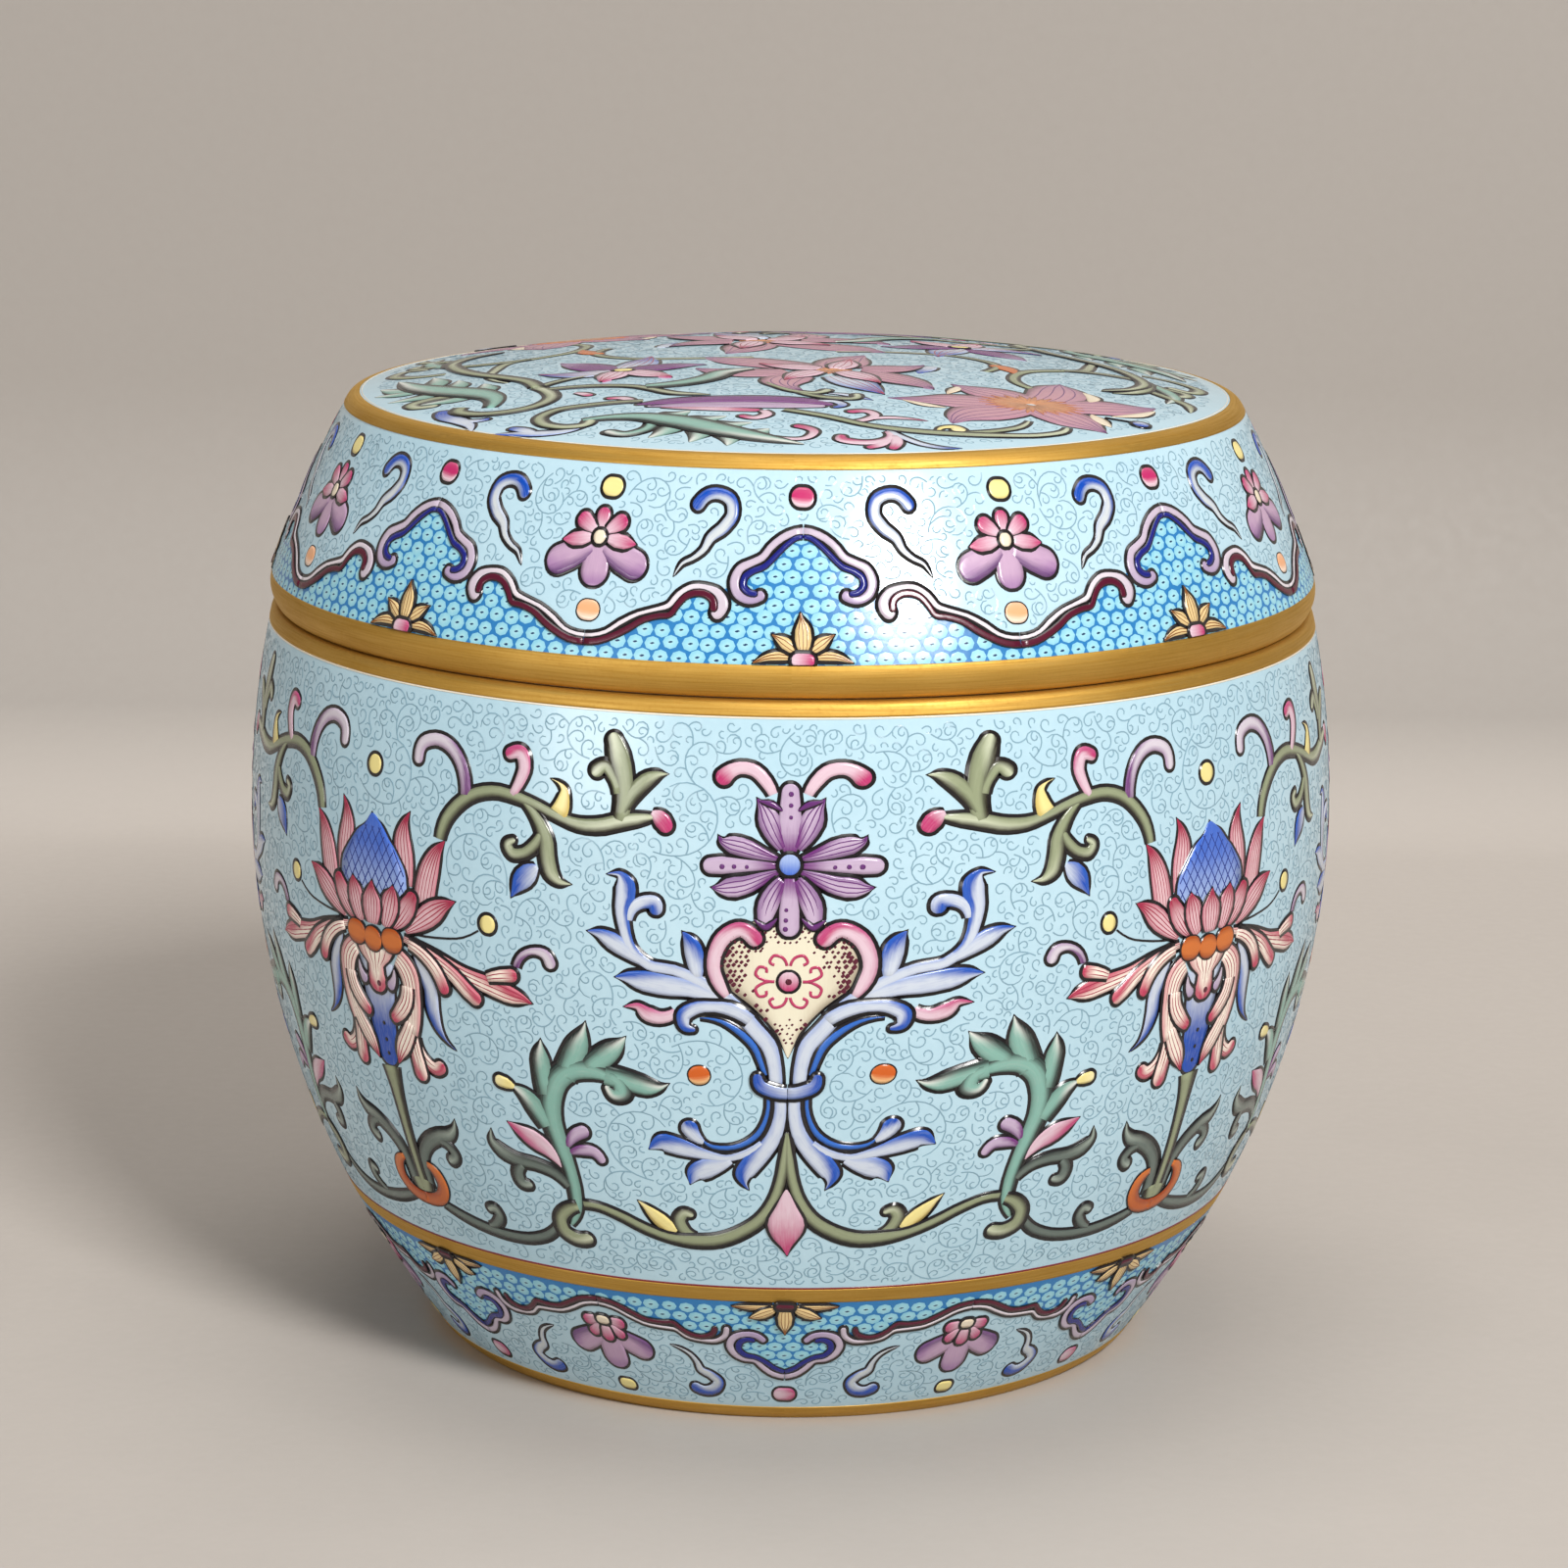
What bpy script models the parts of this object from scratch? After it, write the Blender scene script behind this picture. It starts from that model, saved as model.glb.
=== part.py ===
"""A round porcelain jar with a lift-off lid.

The body swells from a narrow flared foot to a wide belly and closes in to a shoulder,
where an upright neck stands inside a flat ledge. The lid drops over the neck and rests
on the ledge. Both pieces are turned, hollow and empty. Metres, +Z up, and the origin is
at the middle of the foot, on the surface that the jar stands on.
"""

import math

import bpy

# Outside of the body.
BELLY_RADIUS = 0.0800
BELLY_HEIGHT = 0.0790
WAIST_RADIUS = 0.0670
WAIST_HEIGHT = 0.0235
SHOULDER_RADIUS = 0.0766
LEDGE_HEIGHT = 0.1090
SHOULDER_ROUNDING = 0.0018

# Foot ring and the flared wall above it.
FOOT_RADIUS = 0.0525
FOOT_RING_WIDTH = 0.0042
FOOT_RING_ROUNDING = 0.0010
FOOT_RECESS_DEPTH = 0.0035
FOOT_WALL_BULGE = 0.0006

# Walls of the body.
BODY_WALL = 0.0042
FLOOR_THICKNESS = 0.0060
FLOOR_ROUNDING = 0.0110

# Neck that the lid drops over.
NECK_WALL = 0.0030
NECK_HEIGHT = 0.0062
NECK_ROUNDING = 0.0009

# Lid.
LID_HEIGHT = 0.0304
LID_EDGE_RADIUS = 0.0650
LID_EDGE_ROUNDING = 0.0022
LID_WALL_BULGE = 0.0007
LID_CROWN = 0.0055
LID_CROWN_POWER = 2.4
LID_WALL = 0.0038
LID_TOP_THICKNESS = 0.0042
LID_INSIDE_ROUNDING = 0.0060

# Gilded band round the lid's lower edge.
RIM_RADIUS = 0.0770
RIM_BAND_HEIGHT = 0.0046
RIM_BAND_TAPER = 0.0013
RIM_BAND_STEP = 0.0004
RIM_ROUNDING = 0.0006

# Fits between the body and the lid.
LID_SIDE_CLEARANCE = 0.0008
LID_REST_GAP = 0.0003

# Facets.
TURN_STEPS = 60
ROUNDING_STEPS = 3
WALL_STEPS = 6
CROWN_STEPS = 5
MERGE_DISTANCE = 0.00001

# Sizes that follow from the ones above.
LID_BASE_HEIGHT = LEDGE_HEIGHT + LID_REST_GAP
RIM_BOTTOM_RADIUS = RIM_RADIUS - RIM_BAND_TAPER
LID_BORE_RADIUS = RIM_BOTTOM_RADIUS - LID_WALL
NECK_RADIUS = LID_BORE_RADIUS - LID_SIDE_CLEARANCE
NECK_TOP_HEIGHT = LEDGE_HEIGHT + NECK_HEIGHT
RIM_TOP_HEIGHT = LID_BASE_HEIGHT + RIM_BAND_HEIGHT
LID_EDGE_HEIGHT = LID_BASE_HEIGHT + LID_HEIGHT
FLOOR_HEIGHT = FOOT_RECESS_DEPTH + FLOOR_THICKNESS


def drop_of_arc(height, drop, distance):
    """How far an arc falls from its crest at a distance, if it falls by drop at height."""
    radius = (height * height + drop * drop) / (2 * drop)
    return radius - math.sqrt(radius * radius - distance * distance)


def outside_radius(height):
    """Radius of the body's outer wall: two arcs meet at the belly, over a flared foot."""
    if height <= WAIST_HEIGHT:
        share = height / WAIST_HEIGHT
        flare = FOOT_RADIUS + (WAIST_RADIUS - FOOT_RADIUS) * share
        return flare + 4 * FOOT_WALL_BULGE * share * (1 - share)
    end_height, end_radius = WAIST_HEIGHT, WAIST_RADIUS
    if height > BELLY_HEIGHT:
        end_height, end_radius = LEDGE_HEIGHT, SHOULDER_RADIUS
    reach = abs(BELLY_HEIGHT - end_height)
    distance = abs(BELLY_HEIGHT - height)
    return BELLY_RADIUS - drop_of_arc(reach, BELLY_RADIUS - end_radius, distance)


def lid_side_radius(height):
    """Radius of the lid's outer side, a cone that swells slightly between its ends."""
    share = (height - RIM_TOP_HEIGHT) / (LID_EDGE_HEIGHT - RIM_TOP_HEIGHT)
    start = RIM_RADIUS - RIM_BAND_STEP
    cone = start + (LID_EDGE_RADIUS - start) * share
    return cone + 4 * LID_WALL_BULGE * share * (1 - share)


def lid_top_height(radius):
    """Height of the lid's crowned top, which is nearly flat at its middle."""
    return LID_EDGE_HEIGHT + LID_CROWN * (1 - (radius / LID_EDGE_RADIUS) ** LID_CROWN_POWER)


def spread(start, end, steps):
    """Evenly spaced numbers from start to end, both included."""
    return [start + (end - start) * step / steps for step in range(steps + 1)]


def wall(radius_at, start, end, steps, inset=0.0):
    """Points of a wall from one height to another, moved inwards by inset."""
    return [(radius_at(height) - inset, height) for height in spread(start, end, steps)]


def rounded(before, corner, after, rounding):
    """Points of an arc that rounds off the corner between its two neighbours."""
    to_before = (before[0] - corner[0], before[1] - corner[1])
    to_after = (after[0] - corner[0], after[1] - corner[1])
    length_before = math.hypot(*to_before)
    length_after = math.hypot(*to_after)
    cosine = (to_before[0] * to_after[0] + to_before[1] * to_after[1]) / (length_before * length_after)
    half_angle = math.acos(max(-1.0, min(1.0, cosine))) / 2
    reach = min(rounding / math.tan(half_angle), 0.45 * length_before, 0.45 * length_after)
    start = tuple(c + d * reach / length_before for c, d in zip(corner, to_before))
    end = tuple(c + d * reach / length_after for c, d in zip(corner, to_after))
    points = []
    for step in range(ROUNDING_STEPS + 1):
        share = step / ROUNDING_STEPS
        points.append(
            tuple(
                (1 - share) ** 2 * s + 2 * share * (1 - share) * c + share**2 * e
                for s, c, e in zip(start, corner, end)
            )
        )
    return points


def outline(corners):
    """A profile from corners (radius, height, rounding), where a rounding of 0 stays sharp."""
    points = []
    for index, (radius, height, rounding) in enumerate(corners):
        if rounding:
            before = corners[index - 1][:2]
            after = corners[index + 1][:2]
            points += rounded(before, (radius, height), after, rounding)
        else:
            points.append((radius, height))
    return points


def sharp(points):
    """The same points as corners that stay sharp."""
    return [(radius, height, 0) for radius, height in points]


def body_profile():
    """Half section of the body: up the inside, over the neck and down the outside."""
    inner_foot_radius = outside_radius(FLOOR_HEIGHT) - BODY_WALL
    inside_start = FLOOR_HEIGHT + FLOOR_ROUNDING
    inside_end = LEDGE_HEIGHT - BODY_WALL
    outside_end = LEDGE_HEIGHT - SHOULDER_ROUNDING
    neck_inside = NECK_RADIUS - NECK_WALL
    inside_lower = wall(outside_radius, inside_start, BELLY_HEIGHT, WALL_STEPS, BODY_WALL)
    inside_upper = wall(outside_radius, BELLY_HEIGHT, inside_end, WALL_STEPS // 2, BODY_WALL)
    outside_upper = wall(outside_radius, outside_end, BELLY_HEIGHT, WALL_STEPS // 2)
    outside_lower = wall(outside_radius, BELLY_HEIGHT, WAIST_HEIGHT, WALL_STEPS)
    foot = wall(outside_radius, WAIST_HEIGHT, FOOT_RING_ROUNDING, WALL_STEPS // 2)
    ring_inside = FOOT_RADIUS - FOOT_RING_WIDTH
    return outline(
        [(0, FLOOR_HEIGHT, 0), (inner_foot_radius, FLOOR_HEIGHT, FLOOR_ROUNDING)]
        + sharp(inside_lower + inside_upper[1:])
        + [
            (neck_inside, LEDGE_HEIGHT, 0),
            (neck_inside, NECK_TOP_HEIGHT, NECK_ROUNDING),
            (NECK_RADIUS, NECK_TOP_HEIGHT, NECK_ROUNDING),
            (NECK_RADIUS, LEDGE_HEIGHT, 0),
            (SHOULDER_RADIUS, LEDGE_HEIGHT, SHOULDER_ROUNDING),
        ]
        + sharp(outside_upper + outside_lower[1:] + foot[1:])
        + [
            (FOOT_RADIUS - FOOT_RING_ROUNDING / 2, 0, 0),
            (ring_inside + FOOT_RING_ROUNDING / 2, 0, 0),
            (ring_inside, FOOT_RING_ROUNDING, 0),
            (ring_inside - FOOT_RING_ROUNDING, FOOT_RECESS_DEPTH, 0),
            (0, FOOT_RECESS_DEPTH, 0),
        ]
    )


def lid_profile():
    """Half section of the lid: up the inside to the axis, then over the top and down."""
    bore_top = NECK_TOP_HEIGHT + LID_SIDE_CLEARANCE
    ceiling_radius = LID_EDGE_RADIUS - LID_WALL
    ceiling = [
        (radius, lid_top_height(radius) - LID_TOP_THICKNESS)
        for radius in spread(0, ceiling_radius, CROWN_STEPS)
    ]
    top = [(radius, lid_top_height(radius)) for radius in spread(0, LID_EDGE_RADIUS, CROWN_STEPS)]
    side_end = LID_EDGE_HEIGHT - LID_EDGE_ROUNDING
    inside_start = ceiling[-1][1] - LID_INSIDE_ROUNDING
    side = wall(lid_side_radius, side_end, RIM_TOP_HEIGHT, WALL_STEPS)
    inside = wall(lid_side_radius, inside_start, bore_top, WALL_STEPS // 2, LID_WALL)
    return outline(
        sharp(top[:-1])
        + [(*top[-1], LID_EDGE_ROUNDING)]
        + sharp(side)
        + [
            (RIM_RADIUS, RIM_TOP_HEIGHT - RIM_BAND_STEP, 0),
            (RIM_BOTTOM_RADIUS, LID_BASE_HEIGHT, RIM_ROUNDING),
            (LID_BORE_RADIUS, LID_BASE_HEIGHT, RIM_ROUNDING),
            (LID_BORE_RADIUS, bore_top, 0),
        ]
        + sharp(inside[::-1][1:])
        + [(*ceiling[-1], LID_INSIDE_ROUNDING)]
        + sharp(ceiling[-2::-1])
    )


def porcelain(name, colour):
    """A glossy glazed ceramic in one colour."""
    material = bpy.data.materials.new(name)
    material.use_nodes = True
    shader = material.node_tree.nodes["Principled BSDF"]
    shader.inputs["Base Color"].default_value = (*colour, 1)
    shader.inputs["Roughness"].default_value = 0.18
    shader.inputs["Metallic"].default_value = 0.0
    material.diffuse_color = (*colour, 1)
    return material


def turned_piece(name, profile, material, collection):
    """Turns a half section round the Z axis into one closed solid."""
    mesh = bpy.data.meshes.new(name)
    points = [(radius, 0, height) for radius, height in profile]
    edges = [(index, index + 1) for index in range(len(points) - 1)]
    mesh.from_pydata(points, edges, [])
    mesh.materials.append(material)
    piece = bpy.data.objects.new(name, mesh)
    collection.objects.link(piece)
    screw = piece.modifiers.new("turn", "SCREW")
    screw.axis = "Z"
    screw.angle = math.tau
    screw.steps = TURN_STEPS
    screw.render_steps = TURN_STEPS
    screw.use_merge_vertices = True
    screw.merge_threshold = MERGE_DISTANCE
    screw.use_smooth_shade = False
    return piece


def main():
    for item in list(bpy.data.objects):
        bpy.data.objects.remove(item)
    collection = bpy.data.collections.new("lidded_jar")
    bpy.context.scene.collection.children.link(collection)
    body_glaze = porcelain("body_porcelain", (0.52, 0.76, 0.82))
    lid_glaze = porcelain("lid_porcelain", (0.55, 0.79, 0.85))
    turned_piece("jar_body", body_profile(), body_glaze, collection)
    turned_piece("jar_lid", lid_profile(), lid_glaze, collection)


main()
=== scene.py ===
"""Looks of a painted porcelain jar with a lift-off lid.

The porcelain is turned from the same sizes as the solids. The painting lies on it as
thin raised brush strokes: each stroke is a grid carried along a smooth path, laid out on
the unrolled surface in millimetres and wrapped round the jar. Needle scrolls fill the
turquoise ground between the strokes.
"""

import math
from collections import namedtuple

import bpy
import numpy as np
from mathutils import Matrix, Vector


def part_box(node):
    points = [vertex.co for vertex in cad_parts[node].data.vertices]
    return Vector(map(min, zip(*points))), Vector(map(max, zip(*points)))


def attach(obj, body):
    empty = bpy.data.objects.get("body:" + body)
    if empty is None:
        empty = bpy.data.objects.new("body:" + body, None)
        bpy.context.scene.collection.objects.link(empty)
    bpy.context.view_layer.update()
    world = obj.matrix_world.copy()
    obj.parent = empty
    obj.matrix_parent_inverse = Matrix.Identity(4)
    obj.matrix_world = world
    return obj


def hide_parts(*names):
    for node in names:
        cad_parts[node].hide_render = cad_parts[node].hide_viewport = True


bl_info = {
    "name": "Painted lidded jar",
    "version": (1, 0, 0),
    "blender": (4, 5, 0),
    "location": "3D View > Sidebar > Jar",
    "description": "Porcelain, enamels, gilding and the studio round a painted lidded jar",
    "category": "Object",
}

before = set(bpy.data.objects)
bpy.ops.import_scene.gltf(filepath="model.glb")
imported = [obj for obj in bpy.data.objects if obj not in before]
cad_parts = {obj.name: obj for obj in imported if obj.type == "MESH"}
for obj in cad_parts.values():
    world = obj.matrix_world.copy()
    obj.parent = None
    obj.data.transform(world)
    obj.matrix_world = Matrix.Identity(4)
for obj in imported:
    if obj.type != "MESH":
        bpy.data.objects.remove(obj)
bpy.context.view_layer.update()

MM = 0.001
BODY = "root"
FRAME_WIDTH_PX = 1600

# Porcelain, in millimetres, as the solids have it.
BELLY_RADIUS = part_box("jar_body")[1].x / MM
BELLY_HEIGHT = 79.0
WAIST_RADIUS = 67.0
WAIST_HEIGHT = 23.5
SHOULDER_RADIUS = 76.6
LEDGE_HEIGHT = 109.0
SHOULDER_ROUNDING = 1.8
FOOT_RADIUS = 52.5
FOOT_RING_WIDTH = 4.2
FOOT_RING_ROUNDING = 1.0
FOOT_RECESS_DEPTH = 3.5
FOOT_WALL_BULGE = 0.6
BODY_WALL = 4.2
FLOOR_THICKNESS = 6.0
FLOOR_ROUNDING = 11.0
NECK_WALL = 3.0
NECK_HEIGHT = 6.2
NECK_ROUNDING = 0.9
LID_HEIGHT = 30.4
LID_EDGE_RADIUS = 65.0
LID_EDGE_ROUNDING = 2.2
LID_WALL_BULGE = 0.7
LID_CROWN = 5.5
LID_CROWN_POWER = 2.4
LID_WALL = 3.8
LID_TOP_THICKNESS = 4.2
LID_INSIDE_ROUNDING = 6.0
RIM_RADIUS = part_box("jar_lid")[1].x / MM
RIM_BAND_HEIGHT = 4.6
RIM_BAND_TAPER = 1.3
RIM_BAND_STEP = 0.4
RIM_ROUNDING = 0.6
RIM_SWELLING = 0.6
LID_SIDE_CLEARANCE = 0.8
LID_REST_GAP = 0.3

LID_BASE_HEIGHT = LEDGE_HEIGHT + LID_REST_GAP
RIM_BOTTOM_RADIUS = RIM_RADIUS - RIM_BAND_TAPER
LID_BORE_RADIUS = RIM_BOTTOM_RADIUS - LID_WALL
NECK_RADIUS = LID_BORE_RADIUS - LID_SIDE_CLEARANCE
NECK_TOP_HEIGHT = LEDGE_HEIGHT + NECK_HEIGHT
RIM_TOP_HEIGHT = LID_BASE_HEIGHT + RIM_BAND_HEIGHT
LID_EDGE_HEIGHT = LID_BASE_HEIGHT + LID_HEIGHT
FLOOR_HEIGHT = FOOT_RECESS_DEPTH + FLOOR_THICKNESS

# Fineness of the turned surfaces.
TURN_STEPS = 240
WALL_STEP = 3.0
INSIDE_STEP = 6.0
ROUNDING_STEPS = 6

# Fineness of the brush strokes: a new row after so many millimetres of length, radians
# of bend or millimetres of change in width.
ROW_LENGTH = 2.4
ROW_BEND = 0.3
ROW_SWELL = 0.5
PATH_SAMPLE = 0.15
MOST_ROWS = 48
ZONE_SAMPLES = 600

# Unrolled patterns are drawn in millimetres on a cylinder of the belly's radius.
PATTERN_RADIUS = 80.0

# The brush UV map runs along and across a stroke. The paint attribute says how far a point
# is towards the tip (red), the shaded side (green) and the nearer edge (blue).
BRUSH_UV = "brush"
PAINT_ATTRIBUTE = "paint"
UV_PER_MM = 0.1

# Heights of the paint over the glaze, in millimetres. Strokes of one layer differ by a few
# steps of the nudge, so that no two faces lie in the same place.
LAYER_BASE = 0.04
LAYER_STEP = 0.065
PAINT_CROWN = 0.035
INK_SINK = 0.015
LINE_LIFT = 0.015
EDGE_SINK = 0.03
TIP_WIDTH = 0.03
NUDGE_STEP = 0.0015
NUDGES = 9
VEIN_HALF_WIDTH = 0.09
FULL_CROWN_WIDTH = 0.8

# How far the tip's colour runs ahead on the shaded side of a stroke, as a share of its length.
SLANT = 0.3


def srgb(red, green, blue):
    """A colour in 0 to 255 display values, as the linear values that shaders use."""
    values = np.array([red, green, blue]) / 255.0
    linear = np.where(values <= 0.04045, values / 12.92, ((values + 0.055) / 1.055) ** 2.4)
    return tuple(float(v) for v in linear)


# Turned surfaces.


def run_along(points):
    """Distance of each point from the first, measured along the points."""
    return np.concatenate([[0.0], np.cumsum(np.hypot(*np.diff(points, axis=0).T))])


def drop_of_arc(height, drop, distance):
    """How far an arc falls at a distance from its crest, if it falls by drop at height."""
    radius = (height * height + drop * drop) / (2 * drop)
    return radius - np.sqrt(radius * radius - distance * distance)


def outside_radius(height):
    """Radius of the body's outside: two arcs that meet at the belly, over a flared foot."""
    height = np.asarray(height, float)
    share = height / WAIST_HEIGHT
    flare = FOOT_RADIUS + (WAIST_RADIUS - FOOT_RADIUS) * share
    foot = flare + 4 * FOOT_WALL_BULGE * share * (1 - share)
    distance = np.abs(BELLY_HEIGHT - height)
    to_waist = BELLY_HEIGHT - WAIST_HEIGHT
    to_ledge = LEDGE_HEIGHT - BELLY_HEIGHT
    low = drop_of_arc(to_waist, BELLY_RADIUS - WAIST_RADIUS, np.minimum(distance, to_waist))
    high = drop_of_arc(to_ledge, BELLY_RADIUS - SHOULDER_RADIUS, np.minimum(distance, to_ledge))
    wall = BELLY_RADIUS - np.where(height < BELLY_HEIGHT, low, high)
    return np.where(height < WAIST_HEIGHT, foot, wall)


def lid_side_radius(height):
    """Radius of the lid's outer side: a cone that swells slightly between its ends."""
    share = (np.asarray(height, float) - RIM_TOP_HEIGHT) / (LID_EDGE_HEIGHT - RIM_TOP_HEIGHT)
    start = RIM_RADIUS - RIM_BAND_STEP
    cone = start + (LID_EDGE_RADIUS - start) * share
    return cone + 4 * LID_WALL_BULGE * share * (1 - share)


def lid_top_height(radius):
    """Height of the lid's crowned top at a radius: a power curve that is flat in the middle."""
    share = np.minimum(np.abs(radius) / LID_EDGE_RADIUS, 1.0)
    return LID_EDGE_HEIGHT + LID_CROWN * (1 - share**LID_CROWN_POWER)


class Zone:
    """A painted stretch of a turned wall, unrolled to x round the jar and y up the wall."""

    def __init__(self, radius_at, low, high):
        self.height = np.linspace(low, high, ZONE_SAMPLES)
        self.radius = radius_at(self.height)
        self.along = run_along(np.stack([self.height, self.radius], -1))
        self.out_r = np.gradient(self.height, self.along)
        self.out_z = -np.gradient(self.radius, self.along)

    def place(self, angle, y, lift):
        """Point at an angle round the jar and y up the wall, lifted along the wall's normal."""
        radius = np.interp(y, self.along, self.radius)
        height = np.interp(y, self.along, self.height)
        radius = radius + lift * np.interp(y, self.along, self.out_r)
        height = height + lift * np.interp(y, self.along, self.out_z)
        return np.stack([radius * np.sin(angle), -radius * np.cos(angle), height], -1)

    def narrowing(self, y):
        """Width of the wall at y, as a share of the width that patterns are drawn at."""
        return np.interp(y, self.along, self.radius) / PATTERN_RADIUS


BODY_ZONE = Zone(outside_radius, WAIST_HEIGHT, LEDGE_HEIGHT)
FOOT_ZONE = Zone(outside_radius, 0.0, WAIST_HEIGHT)
LID_ZONE = Zone(lid_side_radius, RIM_TOP_HEIGHT, LID_EDGE_HEIGHT)


def place_on_top(x, y, lift):
    """Point over x and y on the lid's crowned top, lifted along the crown's normal."""
    radius = np.maximum(np.hypot(x, y), 1e-6)
    nudge = 0.01
    slope = (lid_top_height(radius + nudge) - lid_top_height(radius - nudge)) / (2 * nudge)
    tilt = np.sqrt(1 + slope * slope)
    out = -slope / tilt * lift
    height = lid_top_height(radius) + lift / tilt
    return np.stack([x + x / radius * out, y + y / radius * out, height], -1)


# Brush strokes on the flat pattern.

Brush = namedtuple("Brush", "family points caps rim layer ink veins tip")


def brush(family, *points, caps="", rim=0, layer=0, ink=1.0, veins=0, tip=(0.45, 1.0)):
    """One stroke. Points are (x, y, half width) in millimetres, from its root to its tip.

    caps holds S, E or both for a round start or end, whose last point is the circle's
    centre. rim is the shaded side: 1 left, -1 right, 2 both, 0 none. ink is the outline's
    share of the usual width. veins is the number of lengthwise lines, and tip gives the
    stretch of the length over which the colour turns from the root's to the tip's.
    """
    return Brush(family, points, caps, rim, layer, ink, veins, tip)


def curl(family, *points, **looks):
    """A stroke that starts pointed and ends round."""
    return brush(family, *points, caps="E", **looks)


def alike(make, family, *paths, **looks):
    """Strokes that share their colour and looks, each with its own list of points."""
    return tuple(make(family, *path, **looks) for path in paths)


def smooth_path(points, grow=0.0, caps="", coarse=1.0):
    """Centres, half widths and unit left normals along a stroke.

    The path is made of cubic Hermite pieces through the points, with each slope taken
    from the neighbouring points. Rows stand closer together where the path bends or its
    width changes. A round cap adds a half circle: at an angle a past the end, the path
    runs on by width times sin a and the half width is width times cos a.
    """
    knots = np.array(points, float)
    knots[:, 2] = np.maximum(knots[:, 2], TIP_WIDTH) + grow
    if grow:
        knots = stretch_tips(knots, grow, caps)
    gaps = np.maximum(np.hypot(*np.diff(knots[:, :2], axis=0).T), 1e-3)
    place = np.concatenate([[0.0], np.cumsum(gaps)])
    order = 2 if len(knots) > 2 else 1
    slopes = np.gradient(knots, place, axis=0, edge_order=order)
    at = np.linspace(0.0, place[-1], max(12, int(place[-1] / PATH_SAMPLE)))
    path = hermite(knots, slopes, place, at)
    moves = np.diff(path, axis=0)
    angle = np.unwrap(np.arctan2(moves[:, 1], moves[:, 0]))
    bend = np.abs(np.gradient(angle))
    run = np.hypot(moves[:, 0], moves[:, 1])
    cost = run / ROW_LENGTH + bend / ROW_BEND + np.abs(moves[:, 2]) / ROW_SWELL
    cost = np.concatenate([[0.0], np.cumsum(cost)]) / coarse
    count = int(np.clip(round(cost[-1]), 2, MOST_ROWS)) + 1
    at = np.interp(np.linspace(0, cost[-1], count), cost, at)
    nearby = min(0.12, 0.3 * place[-1])
    if "S" not in caps:
        at = np.insert(at, 1, at[0] + nearby)
    if "E" not in caps:
        at = np.insert(at, -1, at[-1] - nearby)
    at = np.sort(at)
    path = hermite(knots, slopes, place, at)
    path[:, 2] = np.maximum(path[:, 2], TIP_WIDTH * 0.5)
    step = min(0.05, 0.1 * place[-1])
    ahead = hermite(knots, slopes, place, np.minimum(at + step, place[-1]))
    behind = hermite(knots, slopes, place, np.maximum(at - step, 0.0))
    heading = ahead[:, :2] - behind[:, :2]
    heading /= np.maximum(np.hypot(*heading.T), 1e-9)[:, None]
    widest = path[:, 2].max()
    turn = np.radians(np.linspace(90, 0, 7 if widest > 1.2 else 5)[:-1])
    if "E" in caps:
        path, heading = add_cap(path, heading, turn[::-1], -1)
    if "S" in caps:
        path, heading = add_cap(path, heading, turn, 0)
    normal = np.stack([-heading[:, 1], heading[:, 0]], -1)
    return path[:, :2], path[:, 2], normal


def hermite(knots, slopes, place, at):
    """Points of the cubic pieces through the knots, at distances along them."""
    gaps = np.diff(place)
    index = np.clip(np.searchsorted(place, at, side="right") - 1, 0, len(gaps) - 1)
    gap = gaps[index][:, None]
    t = ((at - place[index]) / gaps[index])[:, None]
    return (
        (2 * t**3 - 3 * t**2 + 1) * knots[index]
        + (t**3 - 2 * t**2 + t) * gap * slopes[index]
        + (3 * t**2 - 2 * t**3) * knots[index + 1]
        + (t**3 - t**2) * gap * slopes[index + 1]
    )


def stretch_tips(knots, grow, caps):
    """Runs the pointed ends of an outline on past the paint, so the tips stay sharp."""
    reach = 1.7 * grow
    pointed = 0.3 + grow
    for cap in "ES":
        if cap not in caps and knots[-1, 2] < pointed:
            heading = knots[-1, :2] - knots[-2, :2]
            end = knots[-1, :2] + reach * heading / max(np.hypot(*heading), 1e-6)
            knots[-1, 2] = max(knots[-1, 2] * 0.8, TIP_WIDTH)
            knots = np.vstack([knots, [*end, TIP_WIDTH]])
        knots = knots[::-1]
    return knots


def add_cap(path, heading, turn, end):
    """Adds a half circle's rows before the first row (end 0) or after the last (end -1)."""
    centre = path[end, :2]
    width = path[end, 2]
    way = heading[end] if end else -heading[end]
    rows = np.empty((len(turn), 3))
    rows[:, :2] = centre + way * (width * np.sin(turn))[:, None]
    rows[:, 2] = np.maximum(width * np.cos(turn), TIP_WIDTH * 0.5)
    headings = np.repeat(heading[end][None], len(turn), axis=0)
    if end:
        return np.vstack([path, rows]), np.vstack([heading, headings])
    return np.vstack([rows, path]), np.vstack([headings, heading])


def soft_step(value, low, high):
    """Rises smoothly from 0 at low to 1 at high."""
    share = np.clip((value - low) / (high - low), 0.0, 1.0)
    return share * share * (3 - 2 * share)


FINE_ACROSS = np.array([-1, -1, -0.7, -0.35, 0, 0.35, 0.7, 1, 1])
PLAIN_ACROSS = np.array([-1, -1, -0.5, 0, 0.5, 1, 1])
THIN_ACROSS = np.array([-1, -1, 0, 1, 1])
INK_ACROSS = np.array([-1, -1, 1, 1])
WIDE_INK_ACROSS = np.array([-1, -1, -0.8, -0.3, 0.3, 0.8, 1, 1])

# The enamel of the veins on a stroke, where it isn't the usual one.
VEIN_COLOURS = {"violet": "purple", "mauve_petal": "purple", "yellow_flower": "umber"}

Patch = namedtuple("Patch", "flat lift paint brush_uv skirts")


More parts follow.
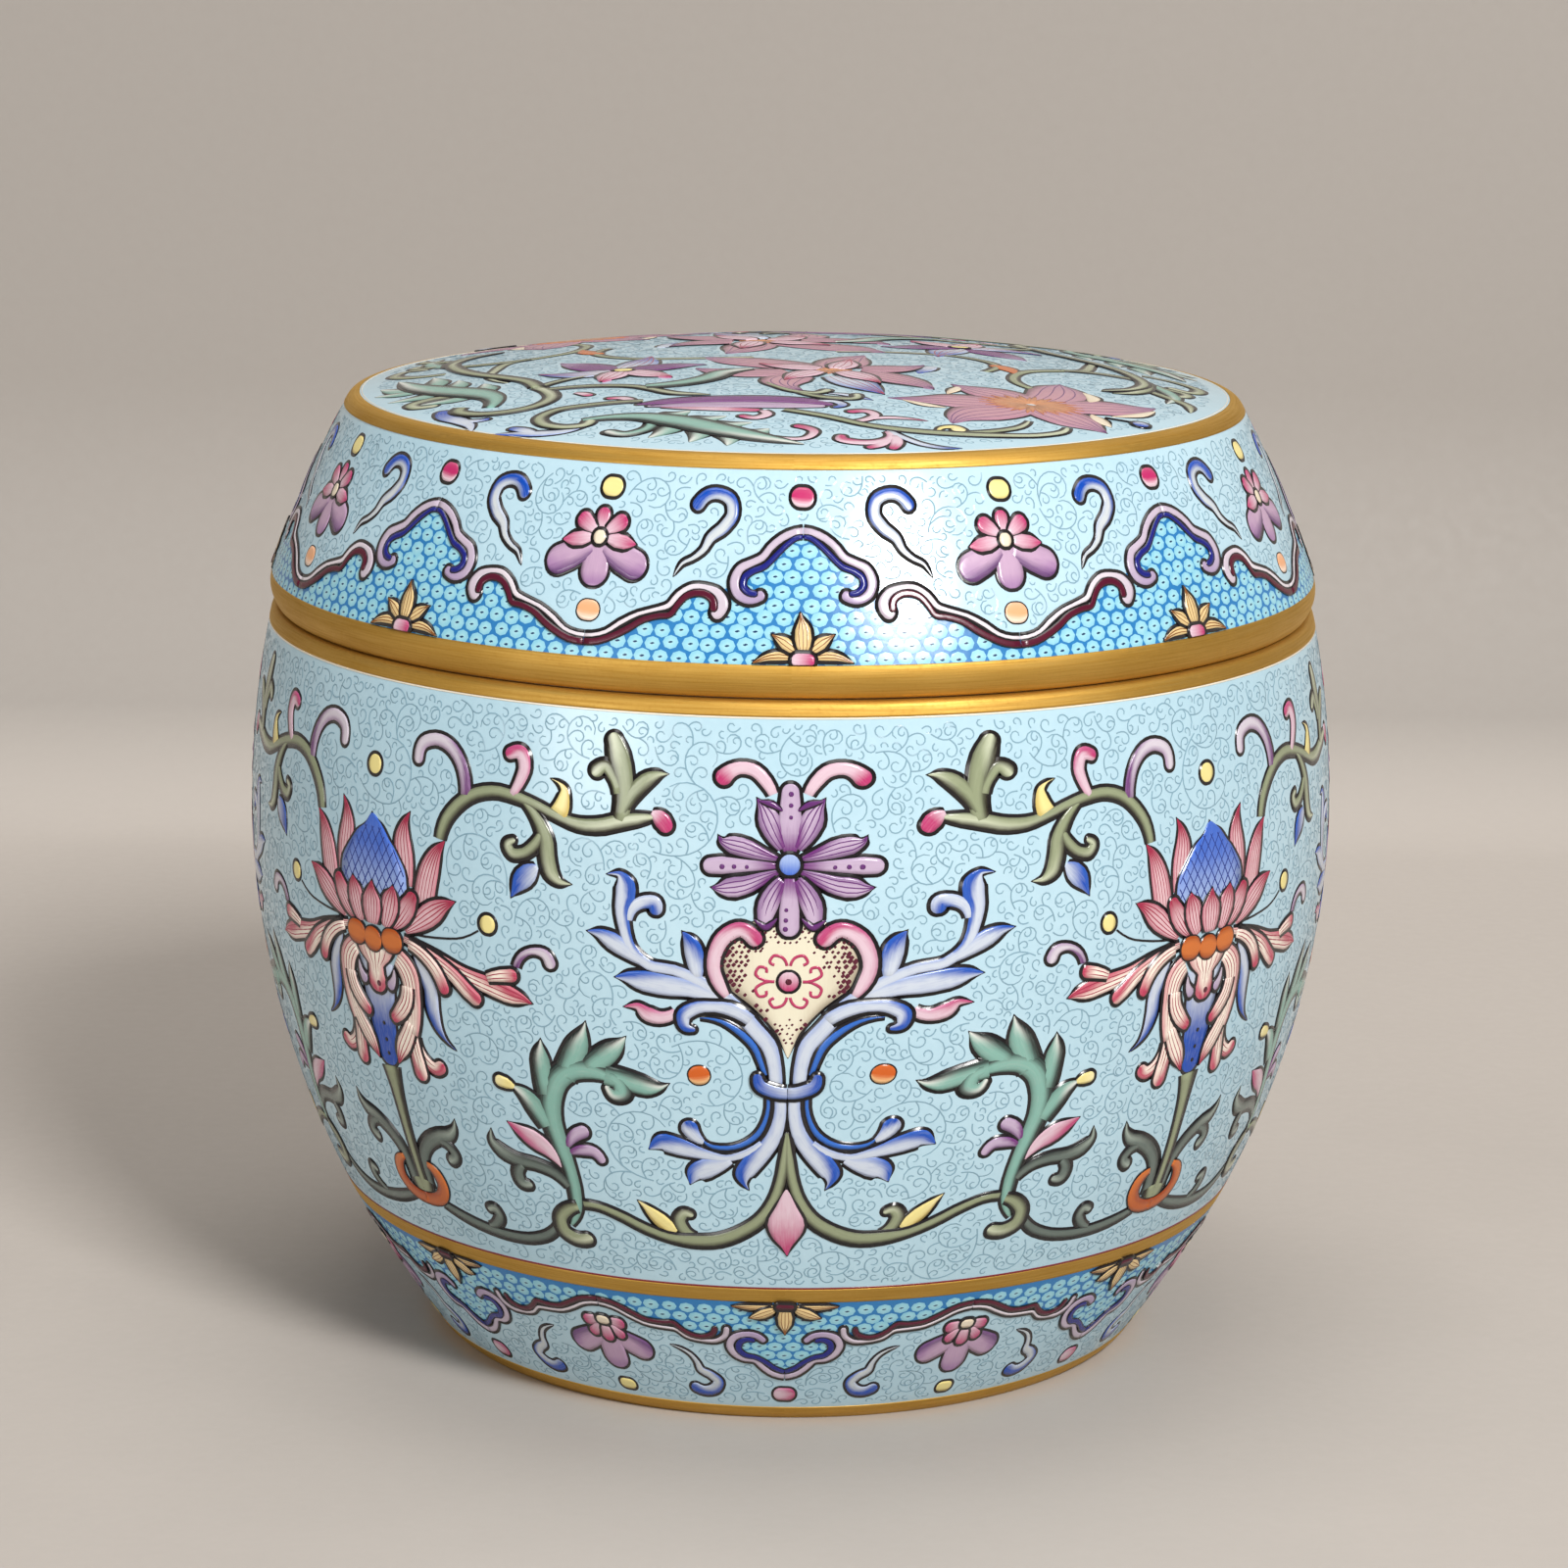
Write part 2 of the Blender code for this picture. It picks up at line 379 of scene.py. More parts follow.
def paint_patch(stroke, inset):
    """The coloured face of a stroke: a crowned grid with short skirts at its sides.

    Across the stroke, with u from -1 to 1, the height is the layer's base plus the crown
    times (1 - u squared), less crown where the stroke is narrow.
    """
    centre, width, normal = smooth_path(stroke.points, -inset, stroke.caps)
    widest = width.max()
    across = FINE_ACROSS if widest > 1.3 else PLAIN_ACROSS if widest > 0.5 else THIN_ACROSS
    flat = centre[:, None] + normal[:, None] * (across[None] * width[:, None])[..., None]
    fullness = np.minimum(1.0, width / FULL_CROWN_WIDTH)[:, None]
    base = LAYER_BASE + LAYER_STEP * stroke.layer
    lift = base + PAINT_CROWN * fullness * (1 - across**2)[None]
    sink_edges(lift)
    run = run_along(centre)
    sided = np.abs(across) - 0.3 if stroke.rim == 2 else across * stroke.rim
    share = (run / run[-1])[:, None] + SLANT * sided[None]
    paint = np.zeros((*lift.shape, 4))
    paint[..., 0] = soft_step(share, *stroke.tip)
    paint[..., 1] = soft_step(sided, 0.0, 0.9)[None] if stroke.rim else 0.0
    paint[..., 2] = soft_step(np.abs(across), 0.5, 1.0)[None]
    paint[..., 3] = 1.0
    brush_uv = np.stack(np.broadcast_arrays(run[:, None], across[None] * width[:, None]), -1)
    return Patch(flat, lift, paint, brush_uv, True)


def ink_patch(stroke, outset):
    """The dark sheet under a stroke, whose border shows as the outline."""
    centre, width, normal = smooth_path(stroke.points, outset, stroke.caps)
    across = WIDE_INK_ACROSS if width.max() > 2.2 else INK_ACROSS
    flat = centre[:, None] + normal[:, None] * (across[None] * width[:, None])[..., None]
    lift = np.full(flat.shape[:2], LAYER_BASE + LAYER_STEP * stroke.layer - INK_SINK)
    sink_edges(lift)
    return plain_patch(flat, lift, True)


def sink_edges(lift):
    """Lowers the border of a stroke's grid into the glaze, so that it is closed all round."""
    lift[:, [0, -1]] = -EDGE_SINK
    lift[[0, -1]] = -EDGE_SINK


def plain_patch(flat, lift, skirts=False):
    """A patch with no shading of its own."""
    paint = np.zeros((*lift.shape, 4))
    paint[..., 3] = 1.0
    return Patch(flat, lift, paint, flat, skirts)


def vein_patches(stroke, inset):
    """Fine lines that run lengthwise on a stroke, at even shares of its width."""
    centre, width, normal = smooth_path(stroke.points, -inset, "", 1.2)
    share = np.linspace(0, 1, len(centre))
    kept = (share > 0.04) & (share < 0.9)
    base = LAYER_BASE + LAYER_STEP * stroke.layer
    patches = []
    for index in range(stroke.veins):
        u = -0.78 + 1.56 * (index + 0.5) / stroke.veins
        ends = kept & (share < 0.92 - 0.3 * abs(u))
        line = (centre + normal * (u * width)[:, None])[ends]
        if len(line) < 3:
            continue
        taper = VEIN_HALF_WIDTH * np.sin(np.linspace(0.5, math.pi - 0.15, len(line)))
        side = normal[ends] * taper[:, None]
        flat = np.stack([line - side, line, line + side], 1)
        crown = PAINT_CROWN * min(1.0, width.max() / FULL_CROWN_WIDTH) * (1 - u * u)
        lift = np.full(flat.shape[:2], base + crown)
        lift[:, 1] += LINE_LIFT
        patches.append(plain_patch(flat, lift))
    return patches


# Meshes.


class Sheets:
    """Collects grids of points and makes them one mesh."""

    def __init__(self):
        self.points = []
        self.paint = []
        self.uvs = []
        self.faces = []
        self.smooth = []
        self.count = 0

    def add(self, points, paint, uvs, flip=False, skirts=False):
        """Adds a stack of grids, shaped (copies, rows, columns, 3).

        Skirts are upright first and last columns of faces, which stay flat.
        """
        copies, rows, columns = points.shape[:3]
        index = np.arange(copies * rows * columns).reshape(copies, rows, columns) + self.count
        corners = [index[:, :-1, :-1], index[:, 1:, :-1], index[:, 1:, 1:], index[:, :-1, 1:]]
        if flip:
            corners = corners[::-1]
        smooth = np.ones((copies, rows - 1, columns - 1), bool)
        if skirts:
            smooth[..., [0, -1]] = False
        self.smooth.append(smooth.ravel())
        self.faces.append(np.stack(corners, -1).reshape(-1, 4))
        self.points.append(points.reshape(-1, 3))
        self.paint.append(np.broadcast_to(paint, (copies, rows, columns, 4)).reshape(-1, 4))
        self.uvs.append(np.broadcast_to(uvs, (copies, rows, columns, 2)).reshape(-1, 2))
        self.count += copies * rows * columns

    def build(self, name, material, slot):
        """Makes the mesh object, with its paint attribute and its brush UV map."""
        faces = np.concatenate(self.faces)
        uvs = np.concatenate(self.uvs)[faces.ravel()] * UV_PER_MM
        points = np.concatenate(self.points) * MM
        piece = mesh_object(name, points, [faces], [material], uvs, np.concatenate(self.paint))
        piece.data.polygons.foreach_set("use_smooth", np.concatenate(self.smooth))
        return piece


def mesh_object(name, points, face_sets, materials, loop_uvs, paint=None, face_material=None):
    """A piece from arrays of points in metres and of faces, each array with its own corner count."""
    mesh = bpy.data.meshes.new(name)
    mesh.vertices.add(len(points))
    mesh.vertices.foreach_set("co", points.astype(np.float32).ravel())
    corners = np.concatenate([faces.ravel() for faces in face_sets]).astype(np.int32)
    sizes = np.concatenate([np.full(len(faces), faces.shape[1]) for faces in face_sets])
    starts = np.concatenate([[0], np.cumsum(sizes)[:-1]]).astype(np.int32)
    mesh.loops.add(len(corners))
    mesh.loops.foreach_set("vertex_index", corners)
    mesh.polygons.add(len(sizes))
    mesh.polygons.foreach_set("loop_start", starts)
    for material in materials:
        mesh.materials.append(material)
    if face_material is not None:
        mesh.polygons.foreach_set("material_index", face_material.astype(np.int32))
    mesh.update(calc_edges=True)
    mesh.polygons.foreach_set("use_smooth", np.ones(len(sizes), bool))
    if paint is not None:
        attribute = mesh.attributes.new(PAINT_ATTRIBUTE, "FLOAT_COLOR", "POINT")
        attribute.data.foreach_set("color", paint.astype(np.float32).ravel())
    layer = mesh.uv_layers.new(name=BRUSH_UV)
    layer.data.foreach_set("uv", loop_uvs.astype(np.float32).ravel())
    mesh.update()
    piece = bpy.data.objects.new(name, mesh)
    bpy.context.scene.collection.objects.link(piece)
    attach(piece, BODY)
    return piece


# The painted patterns. Each point is x, y and the stroke's half width, in millimetres.

DEEP = (-1.0, 0.0)
PALE = (1.0, 2.0)
LATE = (0.55, 0.95)
EARLY = (0.0, 0.6)


def dot(family, x, y, wide, high=None, layer=0, ink=1.0, rim=0, tip=PALE):
    """A round or oval spot, made of one short stroke with two round caps."""
    high = wide if high is None else high
    across = max(wide - high, 0.0)
    up = max(high - wide, 0.02)
    start = (x - across, y + up, min(wide, high))
    end = (x + across, y - up, min(wide, high))
    return brush(family, start, end, caps="SE", rim=rim, layer=layer, ink=ink, tip=tip)


def line(family, *points, width=0.16, layer=0):
    """A fine line of even width without an outline of its own."""
    return brush(family, *((x, y, width) for x, y in points), layer=layer, ink=0, tip=DEEP)


def lobes(family, midrib, tips, width, layer=0, side=1):
    """Pointed lobes of a feathery leaf, each from the nearest stretch of midrib to its tip."""
    rib = np.array(midrib, float)
    out = []
    for tip_point in tips:
        near = int(np.argmin(np.hypot(*(rib - tip_point).T)))
        root = rib[max(near - 1, 0)]
        bend = 0.55 * root + 0.45 * np.array(tip_point)
        bow = 0.12 * (np.array(tip_point) - root)[::-1] * (side, -side)
        out.append(
            brush(
                family,
                (*root, width * 0.7),
                (*(bend + bow), width),
                (*tip_point, 0),
                rim=side,
                layer=layer,
                tip=(0.3, 1.0),
            )
        )
    return tuple(out)


def moved_up(strokes, rise):
    """The same strokes, moved up by rise."""
    out = []
    for stroke in strokes:
        points = tuple((x, rise + y, width) for x, y, width in stroke.points)
        out.append(stroke._replace(points=points))
    return tuple(out)


def mirrored(strokes):
    """The strokes with their mirror images across the upright line at x = 0."""
    flipped = []
    for stroke in strokes:
        points = tuple((-x, y, width) for x, y, width in stroke.points)
        flipped.append(stroke._replace(points=points, rim=2 if stroke.rim == 2 else -stroke.rim))
    return strokes + tuple(flipped)


SPRAYS = (
    brush("blue", (1.65, 34.6, 1.2), (1.85, 38.4, 1.2), (2.6, 41, 1.35), (4.3, 43.1, 1.35),
          (7.4, 46.7, 1.3), (11.5, 49.6, 1.1), (15.2, 51.2, 1), (19, 51.8, 1), (21.3, 53.8, 1),
          (22.2, 56.4, 1.05), (22.5, 59.4, 1.35), (22.1, 61.3, 1.65), (22.2, 62.8, 1.5), (23, 63.9, 0.7),
          (24.6, 63.8, 0), rim=1, tip=(0.82, 0.98)),
    curl("blue", (21.6, 57.6, 0.7), (20.9, 59.6, 1), (19.4, 60.4, 1.15), (18, 60.2, 1.25),
         (17.9, 59.6, 1.2), rim=1, tip=LATE),
    brush("blue", (18.5, 51.7, 0.8), (21.5, 53.2, 1.25), (24, 54.7, 1.5), (26, 55.6, 0.85),
          (27.4, 55.75, 0), rim=1, tip=(0.6, 1)),
    brush("blue", (9.5, 47.6, 1.1), (13, 48.7, 1.4), (17, 49.1, 1.75), (20, 49.5, 1.65), (22, 49.8, 1),
          (23.5, 49.7, 0), rim=1, tip=(0.6, 1)),
    curl("blue", (5, 44.6, 1.1), (7.7, 46.1, 1.2), (10.4, 46.4, 1), (12.5, 46.1, 1.15), (14.2, 44.8, 1.2),
         (13.9, 43.3, 0.95), (12.9, 43, 0.6), rim=1, tip=(0.65, 0.95), layer=1),
    brush("azure", (3.1, 36.6, 0.6), (3.7, 38.6, 0.62), (4.6, 40.8, 0.7), (6.5, 42.8, 0.7),
          (9.3, 44.4, 0.5), (12, 44.7, 0.3)),
    brush("rose", (15.2, 45.3, 0.9), (17.3, 44.4, 1.15), (19.2, 44.8, 1.3), (20.6, 45.8, 0.75),
          (22.3, 45.6, 0), rim=1, tip=(0.3, 1)),
    brush("blue", (1.15, 34.5, 1.05), (1.1, 30, 1.15), (1.9, 27.2, 1.35), (3.6, 24.6, 1.55),
          (5.4, 22.5, 1.7), (6.3, 20.9, 1.4), (6.1, 19.6, 0.6), (5.6, 18.8, 0), rim=1, tip=(0.6, 0.95)),
    brush("blue", (8, 23.4, 0.8), (10, 22.4, 1.4), (11.6, 21.9, 1.85), (13.4, 20.9, 1.5), (14.1, 19.3, 0.1),
          rim=1, tip=(0.5, 1)),
    brush("blue", (3.4, 26.2, 0.9), (5.8, 24.6, 0.85), (8.5, 23.7, 0.8), (12, 24.2, 1.1),
          (15.8, 25.2, 1.65), (18.1, 25.6, 1.5), (19.8, 24.5, 0.1), rim=1, tip=(0.6, 1)),
    curl("blue", (11.8, 26, 0.6), (13.1, 27, 1.2), (13.8, 28.1, 1.5), rim=1, tip=LATE),
    brush("azure", (2.8, 34.5, 0.5), (3, 30, 0.55), (4.1, 27.7, 0.65), (6.2, 26, 0.65), (8.9, 25.3, 0.6),
          (11.2, 25.7, 0.5), (12.3, 26.8, 0.3)),
    brush("blue", (12.2, 50.4, 0.9), (12.5, 52.6, 1.45), (12.9, 54.6, 1.45), (13.7, 56, 0.8),
          (14.2, 56.6, 0), rim=1, tip=(0.2, 0.8)),
    dot("orange_bead", 12.2, 36.3, 1.62, 1.5, ink=0.4, rim=-1),
)

COLLAR = (
    curl("rose", (8.2, 47.9, 0.7), (9.3, 49.6, 1.1), (10.05, 51.9, 1.15), (9.8, 54, 1.2), (8.6, 56.2, 1.3),
         (6.5, 57.3, 1.3), (4.6, 56.1, 1.35), rim=-1, layer=1, tip=(0.7, 0.95)),
)

PETAL = (0.0, 0.45)
SIDE_PETALS = (
    brush("violet", (1.4, 66.9, 0.5), (3.8, 67.6, 1.1), (6.2, 68.4, 1.5), (8, 68.8, 1.35), (9.2, 69.3, 0.6),
          (9.5, 69.8, 0), rim=-1, veins=3, tip=PETAL),
    brush("violet", (1.3, 65.3, 0.5), (3.6, 64.3, 1.1), (6, 63.3, 1.5), (8.2, 62.9, 1.55), (9.4, 62.8, 0.9),
          (10.3, 62.9, 0), rim=1, veins=3, tip=PETAL),
    curl("violet", (1.5, 66, 0.6), (4, 66, 0.9), (7, 65.95, 1.2), (9.4, 65.9, 1.45), (10.5, 65.8, 1.35),
         tip=PETAL),
    brush("violet", (0.9, 68.3, 0.9), (2, 70.3, 1.6), (2.9, 72.3, 1.75), (3.7, 73.9, 0.95), (4.4, 74.9, 0),
          rim=-1, veins=3, tip=PETAL),
    curl("violet", (0.9, 64.2, 0.9), (2.1, 62.3, 1.5), (2.9, 60.5, 1.6), (3.2, 59.1, 1.3), rim=1, layer=2,
         veins=3, tip=PETAL),
    brush("purple", (1.1, 73.4, 0.1), (2.4, 74.2, 0.5), (4.1, 74.6, 0.1), layer=1, ink=0.4),
    brush("purple", (1.7, 58.9, 0.1), (3.1, 57.7, 0.5), (4.5, 58.7, 0.1), layer=3, ink=0.4),
    dot("purple", 5.7, 65.8, 0.26, ink=0, layer=1),
    dot("purple", 7.4, 65.8, 0.3, ink=0, layer=1),
    dot("purple", 9, 65.75, 0.34, ink=0, layer=1),
    curl("rose", (2.3, 75.5, 0.85), (3.2, 77.05, 1.05), (5, 78.7, 1.1), (7.1, 78.9, 1.1), (9, 77.7, 1.4),
         tip=(0.7, 0.95)),
)

BRANCH = (
    brush("olive", (37.6, 72.4, 0.6), (35, 69.8, 1.1), (33.8, 67.3, 1.4), (33.5, 65, 1.4), (32.8, 63, 1.3),
          (31.5, 62, 0.75), (30, 61.9, 0), rim=1),
    curl("olive", (34.4, 68.8, 0.7), (35.5, 66.6, 1.05), (37.3, 65.3, 1), (39, 65.2, 1.05),
         (39.7, 66.3, 0.95), (38.9, 66.9, 0.7), rim=-1),
    brush("blue", (35, 63.8, 0.6), (36.2, 62.8, 1.6), (37.4, 61.6, 1.65), (38.4, 60.1, 0.8),
          (38.9, 59.2, 0), rim=1, tip=(-0.2, 0.8)),
    curl("olive", (23.2, 71, 1.3), (22.7, 74, 1.5), (23, 77, 1.7), (23.8, 79.8, 1.8), (24.5, 81.7, 1.35),
         rim=-1, tip=LATE),
    curl("olive", (23.4, 74.6, 1), (24.4, 77, 1), (25.6, 78.2, 1.1), (26.7, 77.6, 1.25), rim=1, tip=LATE),
    brush("olive", (23, 71.5, 0.9), (22.3, 73.5, 1.2), (20.9, 75.5, 1.35), (19.2, 77, 1.2),
          (17.8, 77.6, 0.7), (16.8, 77.7, 0), rim=1, tip=LATE),
    curl("rose", (18.8, 72.5, 0.5), (17.7, 71.9, 1.3), (16.8, 70.9, 1.3), tip=EARLY),
    brush("yellow", (32.1, 71.2, 1.6), (31.4, 73.2, 1.2), (31.4, 74.6, 0.75), (32.4, 75.5, 0.35),
          (33.3, 75.8, 0), rim=1),
    curl("rose", (39.4, 73, 0.8), (38.2, 75, 1.05), (37.6, 77, 1.2), (38.3, 78.8, 1.25), (40, 78.6, 1.1),
         rim=1, tip=(0.65, 0.95)),
    curl("lilac", (46.9, 72, 1.1), (47.2, 74.3, 1.15), (48.3, 76.6, 1.15), (50.4, 78.4, 1.15),
         (53, 78.9, 1.1), (55.4, 77.8, 1.15), (55.8, 76, 1.1), rim=-1, tip=(0.05, 0.45)),
    brush("olive", (51, 65.4, 1), (50.2, 68, 1.15), (48.3, 70.4, 1.15), (45.6, 72.3, 1.1), (42, 73.2, 1.05),
          (38.5, 72.8, 1), (35, 71.9, 0.9), (32, 70.8, 0.9), (29, 70.1, 1.1), (26, 70.2, 1.25),
          (23, 71, 1.25), (20.5, 71.5, 1.05), (18.4, 71.9, 0.6), rim=1, tip=LATE),
    dot("yellow", 42.8, 54.8, 1.5),
    line("ink", (44.3, 53.7), (47, 52.3), (51, 51.6), (56, 51.3)),
)

LOTUS_SIDE = (
    brush("lotus", (54, 55.5, 2.1), (53.5, 58.3, 2.1), (52.6, 61.4, 1.85), (51.4, 63.8, 1.05),
          (50.2, 65.2, 0), veins=5),
    brush("lotus", (57.6, 58, 1.8), (57.6, 61.5, 2), (58, 64.8, 1.65), (57.5, 67, 0.75), (56.8, 68.2, 0),
          veins=4),
    brush("lotus", (57.5, 51.4, 0.6), (54.8, 53.2, 1.6), (52.2, 55, 1.9), (50, 56.4, 1.1), (48.3, 57.1, 0),
          layer=1, veins=4),
    curl("lotus", (59.8, 51.4, 0.5), (58.4, 53, 1.5), (57, 54.8, 1.75), (56.1, 56.3, 1.3), layer=2,
         veins=4),
    brush("lotus", (61.5, 51.3, 0.8), (60.8, 53.3, 1.8), (60.2, 55.3, 1.9), (59.8, 56.7, 1.1),
          (59.7, 57.5, 0), layer=3, veins=4),
    dot("orange", 60.2, 49.6, 2.2, 1.85, layer=4, rim=2, ink=0.4),
    curl("lilac", (38.4, 49.3, 0.75), (37.4, 51.1, 0.75), (35.6, 52, 0.75), (33.8, 51.7, 1),
         (33.1, 50.6, 1.1), rim=-1, tip=(0, 0.5)),
    brush("petal", (58, 50.3, 0.7), (52, 48.9, 1), (47.1, 47.1, 1.25), (42.5, 46, 1.55), (39.1, 45.2, 1.45),
          (37.4, 44.9, 0.9), (36.2, 44.5, 0), rim=-1, layer=1, veins=3, tip=LATE),
    curl("petal", (43.2, 47.2, 0.8), (41, 47.8, 1.1), (39.1, 48.1, 1.2), layer=2, tip=LATE, veins=2),
    curl("petal", (56, 49.8, 1), (52, 48.3, 1.2), (48.8, 46.6, 1.3), (46.6, 44.8, 1.35), (45.3, 43.9, 1.3),
         rim=-1, layer=2, veins=3, tip=LATE),
    curl("petal", (57, 49.8, 0.9), (54, 48.6, 1.1), (52, 46.9, 1.2), (50.7, 44.5, 1.2), layer=3, veins=2,
         tip=LATE),
    brush("blue", (56.2, 48.6, 0.4), (54.6, 46.2, 1.2), (53.4, 43.8, 1.45), (53.3, 40.8, 1.45),
          (52.4, 37.9, 0.85), (51.2, 36.4, 0.35), (49.9, 35.5, 0), tip=(0.3, 0.9), rim=1),
    brush("petal", (57.8, 38, 1.3), (58.9, 36, 1.5), (60.3, 34, 1.55), (61.2, 32.5, 1), (61.8, 31.2, 0),
          layer=2, veins=3, tip=LATE),
    curl("petal", (57.9, 36.6, 1.2), (57.8, 33.5, 1.4), (57.5, 31.6, 1.5), (57.4, 30.5, 1.5), layer=1,
         veins=3, rim=1, tip=LATE),
    curl("petal", (57.4, 36.2, 1.1), (57, 33.9, 1.2), (55.7, 32.3, 1.2), (54.2, 31.7, 1.25),
         (53.3, 32.1, 1.25), rim=1, veins=2, tip=LATE),
    curl("petal", (57.8, 43.5, 1.3), (58.3, 41.2, 1.4), (59.5, 39.6, 1.4), (61, 38.3, 1.1), layer=3,
         veins=3, tip=LATE),
    brush("petal", (59.5, 47.5, 1.6), (57.4, 45.5, 2), (56.9, 42.5, 1.75), (57.2, 39, 1.6),
          (57.8, 36.3, 1.2), rim=-1, layer=2, tip=PALE, veins=4),
    curl("lilac_band", (60.2, 45.4, 0.1), (60.4, 44.1, 0.7), (61.1, 43, 1), layer=3),
    brush("slate", (62.4, 10.5, 1.4), (62.3, 13.5, 1.4), (61.5, 16.6, 1.4), (59.4, 19, 1.4),
          (56.5, 20.6, 1.4), (54, 21.5, 1.2), (52.9, 22.7, 0.7), (52.5, 24, 0), rim=-1, tip=LATE),
    curl("slate", (56.6, 19.9, 0.9), (54.6, 19.1, 1), (54, 17.9, 1.1), (54.9, 17, 1.15), rim=-1),
    brush("orange", (61.3, 15, 0.6), (59.5, 13.8, 1.1), (58.95, 11.4, 1.25), (60.1, 9.6, 1.25),
          (62, 8.75, 1.2), (64.6, 8.6, 1.15), rim=1, layer=2, ink=0.4, tip=EARLY),
    brush("slate", (60.5, 8.4, 0.8), (56, 6.9, 1), (51, 5.9, 1), (46.5, 5.6, 1), (42, 6.1, 1),
          (38.6, 7.6, 0.95), (36.8, 9.4, 0.8), rim=1, tip=PALE),
    curl("slate", (51, 6.6, 0.6), (49, 7.4, 1), (48, 9, 1.1), (48.6, 10.1, 1.1), (49.5, 10, 0.95), rim=1),
)

PLANT = (
    *alike(
        brush, "leaf",
        ((35, 31, 1.8), (35.3, 34.5, 1.75), (35.4, 36.9, 1.5), (35.3, 38.4, 0.75), (35.2, 39.3, 0)),
        ((32, 34.2, 2), (30.6, 37, 2.1), (29.2, 39.9, 1.7), (28.5, 41.7, 0.7), (28.2, 42.7, 0)),
        ((28.4, 36, 1.6), (26, 37.8, 1.9), (23.9, 39.6, 1.4), (22.5, 41.1, 0)),
        ((25.8, 35.3, 1.8), (22, 34.6, 1.75), (19.2, 34, 1.45), (17.6, 34.2, 0.7), (16.6, 34.7, 0)),
        rim=-1,
    ),
    curl("leaf", (25.2, 35.2, 1.2), (23.5, 34.2, 1.5), (23.3, 32.8, 1.6), (24.6, 32.3, 1.2),
         (25.5, 33.2, 0.75), rim=-1, tip=LATE),
    brush("leaf", (35.5, 26, 1.5), (36.9, 28.5, 1.8), (38.6, 30.5, 1.4), (40.4, 31.5, 0.5), rim=-1),
    curl("yellow", (40.2, 31.5, 0.55), (41.4, 31.9, 1.1), (42.5, 32.1, 1.15), layer=1),
    brush("rose", (34.2, 19.6, 0.3), (35.8, 22, 1.3), (38.2, 23.6, 1.75), (40.4, 24.7, 1.15),
          (42.2, 25.7, 0), rim=-1, tip=(0.3, 1)),
    curl("violet", (32.7, 23.2, 0.6), (31.3, 25.2, 1.2), (29.9, 26, 1.25), rim=1, tip=PETAL),
    curl("violet", (32.4, 22.3, 0.6), (30.4, 23, 1.1), (28.4, 22.9, 1.1), (27.5, 21.9, 0.95), rim=1,
         tip=PETAL),
    brush("slate", (33.4, 16.6, 0.9), (35.5, 18.6, 1.1), (38.5, 19.5, 1.15), (42, 19.8, 1.25),
          (44.6, 20.9, 1.3), (45.8, 22.3, 0.8), (45.6, 23.9, 0), rim=1, tip=LATE),
    curl("slate", (41, 19, 0.9), (42.2, 17.3, 1.2), (41.8, 15.9, 1.2), (40.6, 15.7, 0.95), rim=1),
    brush("leaf", (34.5, 9.8, 0.5), (33, 12.5, 1.1), (32.6, 16, 1.3), (33, 20, 1.4), (34, 24, 1.7),
          (34.7, 27.5, 1.9), (34.4, 30.8, 2), (33, 33.8, 2), (30.6, 35.5, 1.9), (28, 35.8, 1.7),
          (25.5, 35.2, 1.2), rim=-1, tip=PALE),
    curl("olive", (32.5, 13.4, 0.9), (34.5, 12.6, 1.2), (36.1, 10.8, 1.3), (35.9, 8.6, 1.4), (34, 7.5, 1.4),
         (32, 7.7, 1.3), rim=1, layer=1, tip=LATE),
)

VINE = (
    brush("olive", (0.1, 27.8, 0.2), (0.25, 24, 0.9), (0.8, 20.2, 1), (1.8, 17, 1.05), (3.9, 13.6, 1.2),
          (6.6, 11.5, 1.25), (10.4, 9.8, 1.3), (14.5, 9.4, 1.25), (18.1, 9.7, 0.95), (22, 11, 0.95),
          (25.7, 12.75, 0.9), (29.5, 13.9, 0.8), (31.6, 13.9, 0.8), rim=-1, layer=1, tip=PALE),
    curl("olive", (13.6, 10.2, 0.7), (15.8, 11.2, 1.25), (16.3, 13, 1.2), (15.3, 14.2, 1.05),
         (14.6, 14.1, 0.9), rim=-1, tip=LATE),
    brush("yellow", (17, 10.6, 0.8), (18.6, 12, 1.5), (20.2, 13.5, 1.25), (21.6, 14.9, 0.6),
          (22.4, 15.6, 0), rim=-1),
)

BODY_HALF = SPRAYS + COLLAR + SIDE_PETALS + BRANCH + LOTUS_SIDE + PLANT + VINE

ROSETTE_SCROLL = tuple(
    line("line_rose", *points, width=0.2, layer=1)
    for points in (
        ((1.8, 50.2), (3.3, 50.4), (4.4, 51.2), (3.9, 52.2), (3, 52), (3.0, 51.3)),
        ((1.8, 50.2), (3.3, 50.0), (4.4, 49.1), (3.9, 48.1), (3, 48.3), (3.0, 49)),
        ((0.2, 52.3), (0.9, 53.6), (2.0, 53.8), (2.5, 52.9), (1.8, 52.5)),
        ((0.2, 48.1), (0.9, 46.8), (2.0, 46.6), (2.5, 47.5), (1.8, 47.9)),
    )
)

KNOT_RING = (
    curl("blue", (0, 34.1, 1.1), (2.2, 34.4, 1.15), (3.8, 35.3, 1.1), (4.1, 36.3, 0.9), rim=-1, layer=3,
         tip=(-0.5, 1.1)),
)

